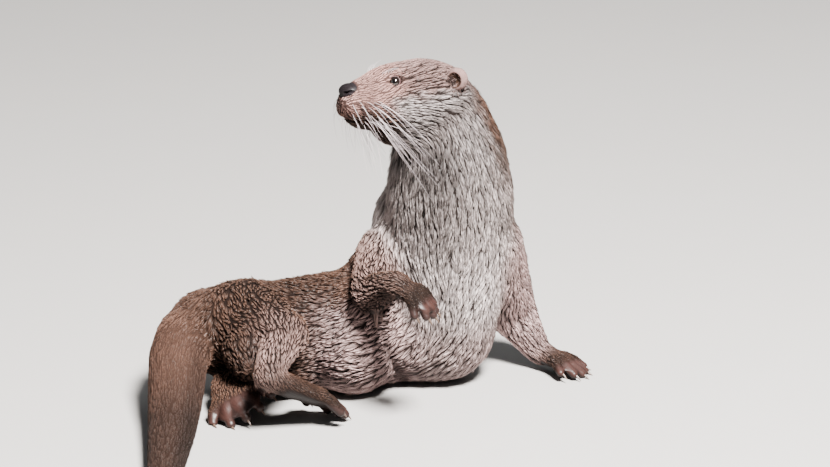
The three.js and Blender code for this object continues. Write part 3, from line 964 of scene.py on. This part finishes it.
def eyelids():
    """A soft rim of bare skin lying on each eyeball, and how far outward each of its points is."""
    parts, outward = [], []
    for e in (1, -1):
        middle, out, across, up = eye_frame(e)
        turn = np.linspace(0, 2 * math.pi, LID_STEPS, endpoint=False)
        wide = np.cos(turn) * OPENING[0] + 0.45 * np.cos(2 * turn)
        tall = np.sin(turn) * np.where(np.sin(turn) > 0, OPENING[1], OPENING[2])
        ring = wide[:, None] * across + tall[:, None] * up
        rise = np.sqrt(np.maximum((EYE_RADIUS + 0.25) ** 2 - (ring ** 2).sum(1), 1))
        centres = middle + ring + rise[:, None] * out
        around = np.linspace(0, 2 * math.pi, LID_SIDES, endpoint=False)
        tilt = unit(centres - middle)
        flare = unit(unit(ring) - tilt * dots(unit(ring), tilt)[:, None])
        loop = [centres + 0.42 * math.sin(a) * tilt + (0.7 * math.cos(a) + 0.3) * flare for a in around]
        points = np.stack(loop, 1).reshape(-1, 3)
        number = np.arange(len(points)).reshape(LID_STEPS, LID_SIDES)
        beside, ahead = np.roll(number, -1, axis=1), np.roll(number, -1, axis=0)
        faces = np.stack([number, beside, np.roll(beside, -1, axis=0), ahead], axis=-1).reshape(-1, 4)
        parts.append((points, faces if e > 0 else faces[:, ::-1]))
        outward.append(np.tile(np.cos(around), LID_STEPS))
    points, faces = joined(parts)
    return points, faces, np.concatenate(outward)


def eye_frame(e):
    """The middle of an eye, the way it looks, and the ways across and up its opening."""
    out = unit(HEAD[0] * 0.5 + HEAD[1] * 0.78 * e + HEAD[2] * 0.36)
    across = unit(HEAD[0] - out * (HEAD[0] @ out))
    return head(EYE[0], EYE[1] * e, EYE[2]), out, across, np.cross(out, across) * e


class OTTER_OT_skin(bpy.types.Operator):
    """Cast one smooth skin over the flesh, with its lids, lips, ears, toes and pads"""
    bl_idname = "otter.skin"
    bl_label = "Skin"

    def execute(self, context):
        cell = context.scene.otter_skin.cell / MM
        low, high = (np.array(c) / MM - SHIFT for c in CAD_BOX)
        points, faces = surface_net(skin_field, low - 3 * cell, high + 3 * cell, cell)
        points, faces = refined(points, faces, self.fine)
        points, faces = refined(points, faces, self.finest)
        faces = np.array([t for f in faces for t in ([f] if len(f) == 3 else [f[:3], [f[0], f[2], f[3]]])])
        parts = [(settled(skin_field, points), faces)]
        for ear in EARS:
            flap = surface_net(ear.field, ear.middle - 15, ear.middle + 15, 0.7)
            parts.append((settled(ear.field, flap[0]), split_quads(flap[1])))
        body, hairy = len(points), sum(len(p) for p, _ in parts)
        triangles = joined(parts)[1]
        lid_points, lid_faces, outward = eyelids()
        points, faces = joined([*parts, (lid_points, split_quads(lid_faces))])
        skin = mesh_object("skin", points, faces, skin_material())
        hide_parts(*FLESH_NODES)

        normals = np.zeros(3 * len(points), np.float32)
        skin.data.vertex_normals.foreach_get("vector", normals)
        normals = normals.reshape(-1, 3).astype(float)
        weights = shares(chunked(anatomy, points)[:, 1:])
        plan = coat_plan(points, normals, weights)
        colours, bare = self.markings(points, plan, body, hairy, outward)
        # The skin's colours: markings with painted shade under the coat and in the ears.
        paint(skin.data, "markings", colours)
        paint(skin.data, "bare", np.repeat(bare[:, None], 3, axis=1))
        BODY.update(points=points[:hairy], triangles=triangles, normals=normals[:hairy],
                    weights=weights[:hairy], ears=np.arange(hairy) >= body)
        return {"FINISHED"}

    @staticmethod
    def markings(points, plan, body, hairy, outward):
        """The skin's colours, with painted shade under the coat and deep in the ears, and how bare it is:
        body points first, then those of the ears and lids.
        """
        coat, own = tones(bpy.context.scene.otter_coat), tones(bpy.context.scene.otter_skin)
        # The skin under the fur is darker than the roots above it: painted shade under the coat.
        colours, bare = blend(plan.root * 0.7, plan.root, plan.bare), plan.bare.copy()
        colours = blend(colours, own.nose, smooth(chunked(NOSE_BALL, points), 1.6, 0.6))
        for ear in EARS:
            on_ear = np.flatnonzero(away_from(ear.middle, points[body:hairy]) < 20) + body
            # Painted shade deep in the bowl of each ear.
            bowl_shade = smooth(np.abs(ear.bowl(points[on_ear])), 1.6, 0.4)
            colours[on_ear] = blend(coat.crown * 0.35, coat.back * 0.12, bowl_shade)
        rim = blend(own.nose * 0.6, own.lid, smooth(outward, -0.6, 0.3))
        colours[hairy:] = blend(rim, coat.muzzle * 0.7, smooth(outward, 0.7, 1.0))
        bare[hairy:] = 0.5
        return colours, bare

    @staticmethod
    def fine(middles):
        """Faces of the front of the head and of the bare toes."""
        f, s, u = in_head(middles).T
        face = (f > 42) & (f < 115) & (np.abs(s) < 45) & (np.abs(u) < 45)
        return face | (toe_share(middles)[0] > 0.3)

    @staticmethod
    def finest(middles):
        """Faces of the lips, the nose and the rims of the eyes."""
        f, s, u = in_head(middles).T
        mouth = (f > 62) & (f < 115) & (np.abs(s) < 30) & (u > -22) & (u < -8)
        nose = away_from(head(*NOSE), middles) < 16
        eyes = [np.abs(away_from(eye_frame(e)[0], middles) - EYE_RADIUS) < 2.5 for e in (1, -1)]
        return mouth | nose | eyes[0] | eyes[1]


def split_quads(faces):
    quads = np.asarray(faces)
    return np.concatenate([quads[:, [0, 1, 2]], quads[:, [0, 2, 3]]])


# -------- coat

TUFTS = [  # wet locks that hang from the right elbow and heel: place, reach and extra length
    (np.array(BONES["arm_right"][1][:3]) + [6, -6, -16], 18, 1.6),
    (np.array(BONES["leg_right"][2][:3]) + [-8, 4, -10], 14, 1.1),
]


def tuft_share(points, place, reach):
    """How far each point belongs to a hanging tuft."""
    return smooth(away_from(place, points), reach, reach * 0.4)


def lie_of(points, normals, weights):
    """The way the hair points: back over the head, down the trunk, out along limbs and down in tufts."""
    near_bone = np.column_stack([chunked(capsule(a, b), points) for a, b in SEGMENTS])
    pull = shares(near_bone, 9.0)
    ways = np.array([unit(np.subtract(b[:3], a[:3])) for a, b in SEGMENTS])
    way = pull @ ways
    for limb, foot in PAWS.items():
        way += share_of(f"paw_{limb}", weights)[:, None] * 2 * foot.rows[0]
    f, s, u = in_head(points).T
    back = -HEAD[0] - (0.4 * smooth(u, 16, -30) * smooth(f, 95, 20))[:, None] * HEAD[2]
    back = back + (0.25 * np.sign(s) * smooth(f, 60, 100))[:, None] * HEAD[1]
    back = back - (0.5 * smooth(f, 82, 100) * smooth(u, 6, -6))[:, None] * HEAD[2]
    way = blend(way, back, share_of("head", weights))
    from_middle = np.clip((points[:, 0] - 30) / 60, -1, 1)  # across the chest
    way[:, 0] -= 0.8 * (share_of("chest", weights) * smooth(-normals[:, 1], 0.2, 0.8) * from_middle)
    way[:, 2] -= 0.35 * share_of("loin", weights) * smooth(-normals[:, 1], 0.0, 0.7)
    for place, reach, _ in TUFTS:
        way = blend(way, np.array([0.15, -0.1, -1.0]), tuft_share(points, place, reach))
    for ear in EARS:
        on_ear = away_from(ear.middle, points) < 13
        way[on_ear] = unit(points[on_ear] - ear.middle) + ear.rows[2] * 0.3 - ear.rows[0] * 0.4
    way -= normals * dots(way, normals)[:, None]
    return unit(way)


def turned(way, normals, angle):
    """Directions in the skin turned by an angle about its normals."""
    across = np.cross(normals, way)
    return way * np.cos(angle)[:, None] + across * np.sin(angle)[:, None]


def waves(points, scale, seed):
    """Smooth made-up variation from -1 to 1 over the body, the same each time."""
    rng = np.random.default_rng(seed)
    total = 0
    for _ in range(5):
        direction, phase = unit(rng.normal(size=3)), rng.uniform(0, 2 * math.pi)
        total = total + np.sin(points @ direction * (2 * math.pi / (scale * rng.uniform(0.7, 1.5))) + phase)
    return total / 2.6


def scattered(points, triangles, density, rng):
    """Roots spread over triangles at a density for each corner: barycentric weights and their triangles."""
    a, b, c = (points[triangles[:, i]] for i in range(3))
    area = 0.5 * np.linalg.norm(np.cross(b - a, c - a), axis=1)
    wanted = np.cumsum(area * density[triangles].mean(axis=1))
    count = int(wanted[-1])
    picked = np.searchsorted(wanted, np.arange(count) + rng.uniform(0, 1, count))
    picked = np.minimum(picked, len(triangles) - 1)
    u, v = rng.uniform(0, 1, (2, count))
    flip = u + v > 1
    u[flip], v[flip] = 1 - u[flip], 1 - v[flip]
    return picked, np.column_stack([1 - u - v, u, v])


HEAD_BACK, HEAD_RUN = 50, 170  # where the head's unwrap starts behind its centre, and its length


def unwrapped(points, name):
    """Places on an unwrap of a length of body: round it, and along it."""
    if name == "head":
        f, s, u = in_head(points).T
        return (np.arctan2(s, u) / (2 * math.pi)) % 1, np.clip((f + HEAD_BACK) / HEAD_RUN, 0, 1)
    stations = np.array(CHAINS[name], float)
    if name in BONES:
        foot = PAWS[name]
        end = np.append(foot.wrist + foot.rows[0] * foot.length * 1.1, 5)
        stations = np.vstack([stations, end])
    a, d = stations[:-1, :3], np.diff(stations[:, :3], axis=0)
    length = np.linalg.norm(d, axis=1)
    start = np.concatenate([[0], np.cumsum(length)])
    t = np.clip(np.einsum("nij,ij->ni", points[:, None] - a, d) / length ** 2, 0, 1)
    off = points[:, None] - (a + t[..., None] * d)
    radius = stations[:-1, 3] + t * np.diff(stations[:, 3])
    best = np.argmin(np.linalg.norm(off, axis=2) - radius, axis=1)
    rows = np.arange(len(points))
    way = d[best] / length[best][:, None]
    across = unit(np.cross(way, [0.31, -0.22, 0.92]))
    up = np.cross(across, way)
    q = off[rows, best]
    angle = np.arctan2(dots(q, across), dots(q, up))
    return (angle / (2 * math.pi)) % 1, (start[best] + t[rows, best] * length[best]) / start[-1]


PATCH = 0.003  # width of one lock's patch on the unwrap
# The kinds of lock: the deepest coat that has it, where along its length its points are, and its share
# of the full width at each but the tip. Short fur is a plain spike, and longer fur bends half-way.
Kind = namedtuple("Kind", "deepest stations widths")
KINDS = (
    Kind(1.05, (0.0, 1.0), (1.0,)),
    Kind(99.0, (0.0, 0.48, 1.0), (0.85, 0.95)),
)
MOST_TRIANGLES = 190000  # in one piece of coat
NEIGHBOURS = 8  # leading locks that each lock chooses from
SUNK = 0.4  # millimetres that a lock's root is sunk in the skin
Ground = namedtuple("Ground", "root normal way")  # where a lock stands, and the way it lies there
Lead = namedtuple("Lead", "root way length height lift tone hang own_length own_height")


def rows_of(table, rows):
    """The same rows of every array in a named tuple."""
    return type(table)(*(column[rows] for column in table))


def gathered(root, normal, way, plan, rng):
    """For each lock the leading one it clings to, sooner one along the lie than one across it."""
    chance = 1 / (plan.clump ** 2 * plan.run * plan.density)
    leads = np.flatnonzero(rng.uniform(0, 1, len(root)) < chance)
    tree = kdtree.KDTree(len(leads))
    for i, lead in enumerate(leads):
        tree.insert(root[lead], i)
    tree.balance()
    close = leads[np.array([[i for _, i, _ in tree.find_n(p, NEIGHBOURS)] for p in root])]
    away = root[:, None] - root[close]
    across = np.cross(way, normal)
    along, side, above = (np.einsum("nij,nj->ni", away, v) for v in (way, across, normal))
    cost = along ** 2 + (side * plan.run[:, None]) ** 2 + (above * 4) ** 2
    cost += 60 * (1 - np.einsum("nij,nj->ni", way[close], way))  # for lying another way
    leader = close[np.arange(len(root)), cost.argmin(axis=1)]
    leader[leads] = leads
    return leader


def grow(kind, ground, plan, lead, wetness, rng):
    """Points, triangles and colours of locks of one kind.

    A lock is a slim three-sided spike. It leaves the skin, bends over and lies along the body, and it
    draws towards the line of the leading lock that it clings to, which gives the coat its wet points."""
    root, normal, way = ground
    count = len(root)
    across = np.cross(way, normal)
    bow = rng.normal(0, 0.05, count) * lead.own_length
    from_lead = root - lead.root
    along = dots(from_lead, lead.way)
    beside = np.linalg.norm(from_lead - lead.way * along[:, None], axis=1)
    edge = np.clip(beside / (0.5 * plan.clump), 0, 1)
    start = lead.root + lead.way * (along * (1 - plan.point))[:, None]
    pull = np.where(beside < 0.01, 0, wetness * rng.uniform(0.8, 1.0, count))
    rings = []
    for t in kind.stations:
        own = root + way * (lead.own_length * t)[:, None] + across * (bow * 4 * t * (1 - t))[:, None]
        share = pull * t ** 0.8
        p = own + (start + lead.way * (lead.length * t)[:, None] - own) * share[:, None]
        top = (lead.own_height * (1 - share) + lead.height * share) * (1 - 0.45 * edge)
        wanted = -SUNK * (1 - t) + top * (1 - (1 - t) ** 2.2) + lead.lift * t ** 3
        off = np.clip(wanted - chunked(pelt_field, p), -6, 6)
        p = p + normal * off[:, None]
        p = blend(p, lead.root + [0, 0, -1] * (lead.own_length * t)[:, None], lead.hang * t)
        p[:, 2] = np.maximum(p[:, 2], FLOOR_GAP)
        rings.append(p)
    width = plan.width * rng.uniform(0.8, 1.2, count) * 0.5
    points = []
    for p, w in zip(rings, kind.widths):
        half = across * (width * w)[:, None]
        points += [p - half, p + half, p + normal * (width * w * 0.9)[:, None]]
    points.append(rings[-1])
    points = np.stack(points, 1)
    points[:, :, 2] = np.maximum(points[:, :, 2], FLOOR_GAP * 0.6)

    colours = []
    for i, t in enumerate(kind.stations):
        # Painted shade: each lock darkens towards its root, and locks at a clump's edge stay darker along
        # most of their length, down in the gaps between clumps.
        reach = np.clip(t * 1.1, 0, 1) ** 1.4 * (1 - 0.75 * edge * (1 - 0.55 * t))
        shade = blend(plan.root, plan.tip * lead.tone[:, None], reach)
        colours += [shade] * (3 if i < len(kind.widths) else 1)
    return points, spike(len(kind.widths)), np.stack(colours, 1)


def spike(rings):
    """The triangles of one three-sided spike with a number of rings and a tip."""
    faces = [[0, 1, 2]]
    for a in range(0, 3 * rings - 3, 3):
        for i in range(3):
            n = (i + 1) % 3
            faces += [[a + i, a + n + 3, a + n], [a + i, a + i + 3, a + n + 3]]
    a = 3 * rings - 3
    return np.array(faces + [[a + i, 3 * rings, a + (i + 1) % 3] for i in range(3)])


def patches(kind, places):
    """Where each point of each lock lies on the unwrap: in a small patch at its root's place."""
    offsets = [(0.5 * dx, t - 0.5) for t in kind.stations[:-1] for dx in (-1, 1, 0)] + [(0, 0.5)]
    return PATCH / 2 + places[:, None] * (1 - PATCH) + np.array(offsets) * PATCH


class OTTER_OT_coat(bpy.types.Operator):
    """Grow the clumped wet coat over the skin, in pieces"""
    bl_idname = "otter.coat"
    bl_label = "Coat"

    def execute(self, context):
        coat = context.scene.otter_coat
        rng = np.random.default_rng(41)
        root, normal, weight, on_ear = self.roots(coat, rng)
        plan = coat_plan(root, normal, weight)
        hair = np.column_stack(plan[:len(Hair._fields)])
        hair[on_ear] = EAR_HAIR
        plan = Plan(*hair.T.copy(), *plan[len(Hair._fields):])
        way = lie_of(root, normal, weight)
        swirl = plan.spread * (1.0 * waves(root, 24, 11) + 0.6 * waves(root, 9, 12))
        way = turned(way, normal, swirl + rng.normal(0, 1, len(root)) * plan.spread * 0.3)

        hang = np.zeros(len(root))
        for place, reach, extra in TUFTS:
            share = tuft_share(root, place, reach)
            plan.length[:] += share * extra * plan.length
            plan.point[:] += share * (1 - plan.point)
            plan.clump[:] += share * plan.clump
            hang = np.maximum(hang, share)
        plan.lift[:] += 1.8 * share_of("neck", weight) * smooth(normal[:, 1], 0.1, 0.8)
        leader = gathered(root, normal, way, plan, rng)
        length = plan.length * coat.length * rng.uniform(0.8, 1.15, len(root))
        height = plan.depth * rng.uniform(0.55, 1.0, len(root))
        lift = plan.lift * rng.exponential(0.4, len(root)) * (1 + 0.6 * waves(root, 30, 13))
        mottled = 0.1 + 0.2 * share_of("head", weight) + 0.2 * share_of("tail", weight)
        tone = 1 + 0.15 * rng.normal(size=len(root))[leader] + mottled * rng.normal(size=len(root))
        tone = np.clip(tone, 0.45, 1.5) * (1 + 0.1 * waves(root, 30, 5))
        tone[on_ear] *= rng.uniform(0.55, 1.1, on_ear.sum())
        lead = Lead(root[leader], way[leader], length[leader], height[leader],
                    np.maximum(lift[leader], 0), tone, hang[leader], length, height)

        ground = Ground(root, normal, way)
        group = np.array([*range(len(TRUNK)), *np.repeat(np.arange(len(BONES)) + len(TRUNK), 3)])
        group = group[weight.argmax(axis=1)]
        group[on_ear] = 0
        kinds = np.searchsorted([kind.deepest for kind in KINDS], plan.depth)
        sizes = np.array([len(spike(len(kind.widths))) for kind in KINDS])
        material = coat_material()
        for g, name in enumerate(("head", *CHAINS)):
            mine = np.flatnonzero(group == g)
            places = np.column_stack(unwrapped(root[mine], name))
            order = np.argsort(places[:, 1], kind="stable")
            cost = np.cumsum(sizes[kinds[mine[order]]])
            pieces = math.ceil(cost[-1] / MOST_TRIANGLES)
            for n in range(pieces):
                chosen = order[(cost > n * cost[-1] / pieces) & (cost <= (n + 1) * cost[-1] / pieces)]
                locks, parts = mine[chosen], []
                for k, kind in enumerate(KINDS):
                    some = kinds[locks] == k
                    if some.any():
                        tables = (rows_of(table, locks[some]) for table in (ground, plan, lead))
                        parts.append((kind, some, grow(kind, *tables, coat.wetness, rng)))
                label = f"coat_{name}" + (f"_{n + 1}" if pieces > 1 else "")
                slot = "silver_fur" if name in ("neck", "chest") else "brown_fur"
                self.dress(label, slot, material, places[chosen], parts)
        return {"FINISHED"}

    @staticmethod
    def roots(coat, rng):
        """Where the locks leave the skin, its normal and region there, and which are on the ears."""
        points, triangles, normals, weights, ears = (
            BODY[k] for k in ("points", "triangles", "normals", "weights", "ears"))
        plan = coat_plan(points, normals, weights)
        density = plan.density * (1 - smooth(plan.bare, 0.2, 0.7)) * coat.density
        density[ears] = Hair(*EAR_HAIR).density * coat.density
        for ear in EARS:
            near_ear = away_from(ear.middle, points) < 16
            density *= 1 - 0.8 * near_ear * smooth(np.abs(ear.bowl(points)), 1.3, 0.5)
        for e in (1, -1):
            middle, out, across, up = eye_frame(e)
            q = points - middle
            on_eye = (q @ out > 0) & (away_from(middle, points) < 12)
            opening = np.hypot(q @ across / 6.6, q @ up / 5.9)  # 1 along the rims of the lids
            density *= np.where(on_eye, smooth(opening, 0.92, 1.05), 1)
        density *= smooth(chunked(NOSE_BALL, points), 0.6, 1.6)
        density *= smooth(points[:, 2], 0.4, 1.2)
        picked, share = scattered(points, triangles, density, rng)
        corners = triangles[picked]
        root, normal, weight = (
            np.einsum("ij,ij...->i...", share, v[corners]) for v in (points, normals, weights))
        return root, unit(normal), weight, ears[corners[:, 0]]

    @staticmethod
    def dress(label, slot, material, places, parts):
        """One piece of coat from its grown locks, with the unwrap that its finish is laid out on."""
        start, end = places[:, 1].min(), places[:, 1].max()
        places = np.column_stack([places[:, 0], (places[:, 1] - start) / (end - start)])
        colours, unwrap, locks = [], [], []
        for kind, some, (points, pattern, shades) in parts:
            numbers = np.arange(points.shape[0])[:, None, None] * points.shape[1]
            locks.append((points.reshape(-1, 3), (pattern + numbers).reshape(-1, 3)))
            colours.append(shades.reshape(-1, 3))
            unwrap.append(patches(kind, places[some]).reshape(-1, 2))
        points, faces = joined(locks)
        piece = mesh_object(label, points, faces, material)
        # The coat's colours: markings with painted shade down between the locks, on the throat under the
        # head, beside the belly's fold and on the tail's +X side.
        paint(piece.data, "markings", np.concatenate(colours))
        layer = piece.data.uv_layers.new(name="OFBake")
        unwrap = np.concatenate(unwrap)
        layer.uv.foreach_set("vector", unwrap[faces.ravel()].astype(np.float32).ravel())


# -------- eyes, nose, claws and whiskers

class OTTER_OT_eyes(bpy.types.Operator):
    """Set a glossy dark eye with an iris and pupil in each socket"""
    bl_idname = "otter.eyes"
    bl_label = "Eyes"

    def execute(self, context):
        material = eye_material()
        iris = np.array(context.scene.otter_skin.eye)
        bm = bmesh.new()
        bmesh.ops.create_icosphere(bm, subdivisions=5, radius=1)
        ways = unit(np.array([v.co for v in bm.verts]))
        faces = np.array([[v.index for v in f.verts] for f in bm.faces])
        bm.free()
        for e, side in ((1, "left"), (-1, "right")):
            middle, out, across, up = eye_frame(e)
            off = np.degrees(np.arccos(np.clip(ways @ out, -1, 1)))
            around = np.arctan2(ways @ up, ways @ across)
            bulge = 0.35 * (1 - smooth(off, 18, 50))
            points = middle + ways * (EYE_RADIUS + bulge - 0.15)[:, None]
            eye = mesh_object(f"eyeball_{side}", points, faces, material)
            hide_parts(f"eye_{side}")
            spokes = 1 + 0.25 * np.sin(17 * around) + 0.2 * np.sin(29 * around + 1)
            colours = iris * (spokes - 0.3 * smooth(off, 30, IRIS_EDGE[0]))[:, None]
            colours = blend(colours, iris * 0.1, 1 - smooth(off, *PUPIL_EDGE))
            colours = blend(colours, iris * 0.4, smooth(off, *IRIS_EDGE))
            paint(eye.data, "markings", colours)
        return {"FINISHED"}


def nose_field():
    """The nose pad: a broad blunt cushion with a comma-shaped nostril on each side."""
    f, _, u = NOSE
    pad = union([
        (head_ball(f - 0.3, 0, u, [NOSE_SIZE[0], NOSE_SIZE[1] - 0.8, NOSE_SIZE[2]]), 1),
        *[(head_ball(f - 2.2, e * 7.6, u - 1.2, [8.6, 5.6, 6.4]), 3) for e in (1, -1)],
        (head_ball(f + 3, 0, u - 5.0, [5, 4.5, 5.5]), 3),
    ])
    holes = [
        *[head_ball(f + 5.2, e * 7.2, u - 1.4, [4.6, 2.6, 2.6]) for e in (1, -1)],
        *[head_ball(f + 2.4, e * 10.6, u + 0.2, [4.4, 2.4, 1.5]) for e in (1, -1)],
        head_ball(f + 10, 0, u - 4, [4, 0.5, 6]),
    ]

    def field(points):
        d = pad(points)
        for hole in holes:
            d = -melt(-d, hole(points), 0.8)
        return d

    return field


class OTTER_OT_nose(bpy.types.Operator):
    """Shape the bare nose pad with its nostrils"""
    bl_idname = "otter.nose"
    bl_label = "Nose"

    def execute(self, context):
        field = nose_field()
        middle = head(*NOSE)
        points, faces = surface_net(field, middle - 16, middle + 16, 0.5)
        points = settled(field, points, most=0.4)
        material = nose_material(context.scene.otter_skin.nose)
        nose = mesh_object("nose_pad", points, faces, material)
        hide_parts("nose")
        return {"FINISHED"}


CLAW_LENGTH, CLAW_BEND, CLAW_RADIUS = 7.6, 1.6, 1.35


class OTTER_OT_claws(bpy.types.Operator):
    """Set a small curved claw on every toe"""
    bl_idname = "otter.claws"
    bl_label = "Claws"

    def execute(self, context):
        parts = []
        for foot in PAWS.values():
            for toe in foot.toes:
                tip, point = np.array(toe[2][:3]), np.array(toe[3][:3])
                way = unit(point - tip)
                start = tip + way * (toe[2][3] - 2.2) + foot.rows[2] * 0.8
                t = np.linspace(0, 1, 8)
                bend = foot.rows[2] * (CLAW_BEND * t ** 2)[:, None]
                line = start + way * (CLAW_LENGTH * t)[:, None] - bend
                width = CLAW_RADIUS * (1 - t) ** 0.7 + 0.12
                line[:, 2] = np.maximum(line[:, 2], width + 0.1)
                parts.append(tube(line, width, 8))
        points, faces = joined(parts)
        points[:, 2] = np.maximum(points[:, 2], 0.05)
        mesh_object("claws", points, faces, claw_material(context.scene.otter_skin.claw))
        return {"FINISHED"}


class OTTER_OT_whiskers(bpy.types.Operator):
    """Plant long pale whiskers on the muzzle, chin and brow"""
    bl_idname = "otter.whiskers"
    bl_label = "Whiskers"

    def execute(self, context):
        settings = context.scene.otter_whiskers
        rng = np.random.default_rng(7)
        longest = settings.length / MM
        starts, firsts, lasts, lengths = [], [], [], []

        def plant(start, first, last, length):
            starts.append(head(*start))
            firsts.append(unit(np.array(first) @ HEAD))
            lasts.append(unit(np.array(last) @ HEAD))
            lengths.append(length)

        for e in (1, -1):
            for f, s, u, column, row in whisker_roots():
                back = 0.1 + 0.12 * column + rng.normal(0, 0.06)
                out = e * (1.0 - 0.09 * column) * rng.uniform(0.7, 1.1)
                last = [-0.35 - 0.06 * column + rng.normal(0, 0.12), e * rng.uniform(0, 0.25), -1]
                plant((f, e * s, u), [-back, out, -0.3 - 0.08 * row], last,
                      longest * (0.4 + 0.12 * min(column, 5)) * rng.uniform(0.65, 1.05))
            for n in range(6):
                plant((90 - 5 * n, e * rng.uniform(2, 8), -24), [-0.2, e * 0.3, -1], [-0.1, e * 0.05, -1],
                      longest * rng.uniform(0.3, 0.55))
            for n in range(4):
                plant((60 + 3 * n, e * (20 - n), 30), [-0.3, e * 0.35, 1], [-1.3, e * 0.5, 0.1],
                      longest * rng.uniform(0.12, 0.22))
        rows = map(np.array, (starts, firsts, lasts, lengths))
        points, faces = self.hairs(*rows, settings.thickness / MM / 2)
        mesh_object("whiskers", points, faces, whisker_material(settings.colour))
        return {"FINISHED"}

    @staticmethod
    def hairs(starts, firsts, lasts, lengths, thick):
        """Tapered hairs that set off one way and droop into another, kept clear of the coat."""
        starts = settled(skin_field, starts, most=6)
        firsts = unit(firsts + 0.9 * gradient(skin_field, starts))
        t = np.linspace(0, 1, 14)[None, :, None]
        lines = starts[:, None] + lengths[:, None, None] * (
            firsts[:, None] * (0.62 * t - 0.24 * t ** 2) + lasts[:, None] * (0.72 * t ** 1.9))
        flat = lines[:, 1:].reshape(-1, 3)
        gap = np.minimum(2.2, 0.35 * (lengths[:, None] * t[0, 1:, 0]).ravel())
        short = np.maximum(gap - chunked(skin_field, flat), 0)
        flat = flat + gradient(skin_field, flat) * short[:, None]
        lines[:, 1:] = flat.reshape(len(starts), -1, 3)
        width = thick * (1 - t[0, :, 0]) ** 0.8 + 0.04
        return joined([tube(line, width, 5) for line in lines])


# -------- stage

AIM_HEIGHT = 168.8  # millimetres above the floor that the camera looks at
VIEW_WIDTH = 0.830  # metres across the picture at the animal
FLOOR_HALF = 12  # metres from the middle of the floor to its edges
SENSOR = 36  # millimetres across the camera's sensor


class OTTER_OT_stage(bpy.types.Operator):
    """Lay the floor and set the lights and camera"""
    bl_idname = "otter.stage"
    bl_label = "Stage"

    def execute(self, context):
        settings = context.scene.otter_stage
        scene = context.scene
        aim = to_row([[0, 0, AIM_HEIGHT]])[0]
        shader = Shader("floor", Roughness=0.75)
        tone = shader.mixed([c * 0.97 for c in settings.floor], settings.floor, shader.noise(14, 4))
        material = shader.set(Base_Color=tone)
        mesh = bpy.data.meshes.new("floor")
        corners = [(x * FLOOR_HALF, y * FLOOR_HALF, 0) for x, y in ((-1, -1), (1, -1), (1, 1), (-1, 1))]
        mesh.from_pydata(corners, [], [[0, 1, 2, 3]])
        mesh.materials.append(material)
        floor = bpy.data.objects.new("floor", mesh)
        scene.collection.objects.link(floor)

        self.light(scene, "key", aim, (0.6, -1.5, 2.25), 0.6, settings.key, (1, 0.97, 0.94))
        self.light(scene, "fill", aim, (-2.4, -1.2, 0.9), 2.0, settings.fill, (0.93, 0.97, 1))
        self.light(scene, "rim", aim, (1.2, 2.2, 1.8), 1.6, settings.fill * 1.6, (1, 1, 1))
        world = bpy.data.worlds.new("air")
        world.use_nodes = True
        background = world.node_tree.nodes["Background"]
        background.inputs[0].default_value = (0.94, 0.97, 1, 1)
        background.inputs[1].default_value = settings.air
        scene.world = world

        camera = bpy.data.objects.new("camera", bpy.data.cameras.new("camera"))
        camera.data.sensor_width = SENSOR
        camera.data.lens = SENSOR * settings.distance / VIEW_WIDTH
        back = np.array([0, -math.cos(settings.height), math.sin(settings.height)])
        camera.location = aim + back * settings.distance
        camera.rotation_euler = (math.pi / 2 - settings.height, 0, 0)
        scene.collection.objects.link(camera)
        scene.camera = camera
        return {"FINISHED"}

    @staticmethod
    def light(scene, name, aim, offset, size, power, colour):
        """A square soft light at an offset from the animal, facing it."""
        data = bpy.data.lights.new(name, "AREA")
        data.energy, data.size, data.color = power, size, colour
        lamp = bpy.data.objects.new(name, data)
        lamp.location = aim + np.array(offset)
        lamp.rotation_euler = (lamp.location - type(lamp.location)(aim)).to_track_quat("Z", "Y").to_euler()
        scene.collection.objects.link(lamp)


# -------- panel and registration

class OTTER_PT_panel(bpy.types.Panel):
    """Sizes, colours and build steps of the otter"""
    bl_idname = "OTTER_PT_panel"
    bl_label = "River Otter"
    bl_space_type = "VIEW_3D"
    bl_region_type = "UI"
    bl_category = "Otter"

    def draw(self, context):
        layout = self.layout
        for name in GROUPS:
            box = layout.box()
            settings = getattr(context.scene, name)
            for prop in settings.__annotations__:
                box.prop(settings, prop)
        for operator in OPERATORS:
            layout.operator(operator.bl_idname)


GROUPS = {
    "otter_coat": OtterCoat, "otter_skin": OtterSkin, "otter_whiskers": OtterWhiskers,
    "otter_stage": OtterStage,
}
OPERATORS = (OTTER_OT_stage, OTTER_OT_skin, OTTER_OT_coat, OTTER_OT_eyes, OTTER_OT_nose, OTTER_OT_claws,
             OTTER_OT_whiskers)
CLASSES = (*GROUPS.values(), *OPERATORS, OTTER_PT_panel)


def register():
    for cls in CLASSES:
        bpy.utils.register_class(cls)
    for name, group in GROUPS.items():
        setattr(bpy.types.Scene, name, bpy.props.PointerProperty(type=group))


def unregister():
    for name in GROUPS:
        delattr(bpy.types.Scene, name)
    for cls in reversed(CLASSES):
        bpy.utils.unregister_class(cls)


def main():
    register()
    bpy.ops.otter.stage()
    bpy.ops.otter.skin()
    bpy.ops.otter.coat()
    bpy.ops.otter.eyes()
    bpy.ops.otter.nose()
    bpy.ops.otter.claws()
    bpy.ops.otter.whiskers()


if __name__ == "__main__":
    main()
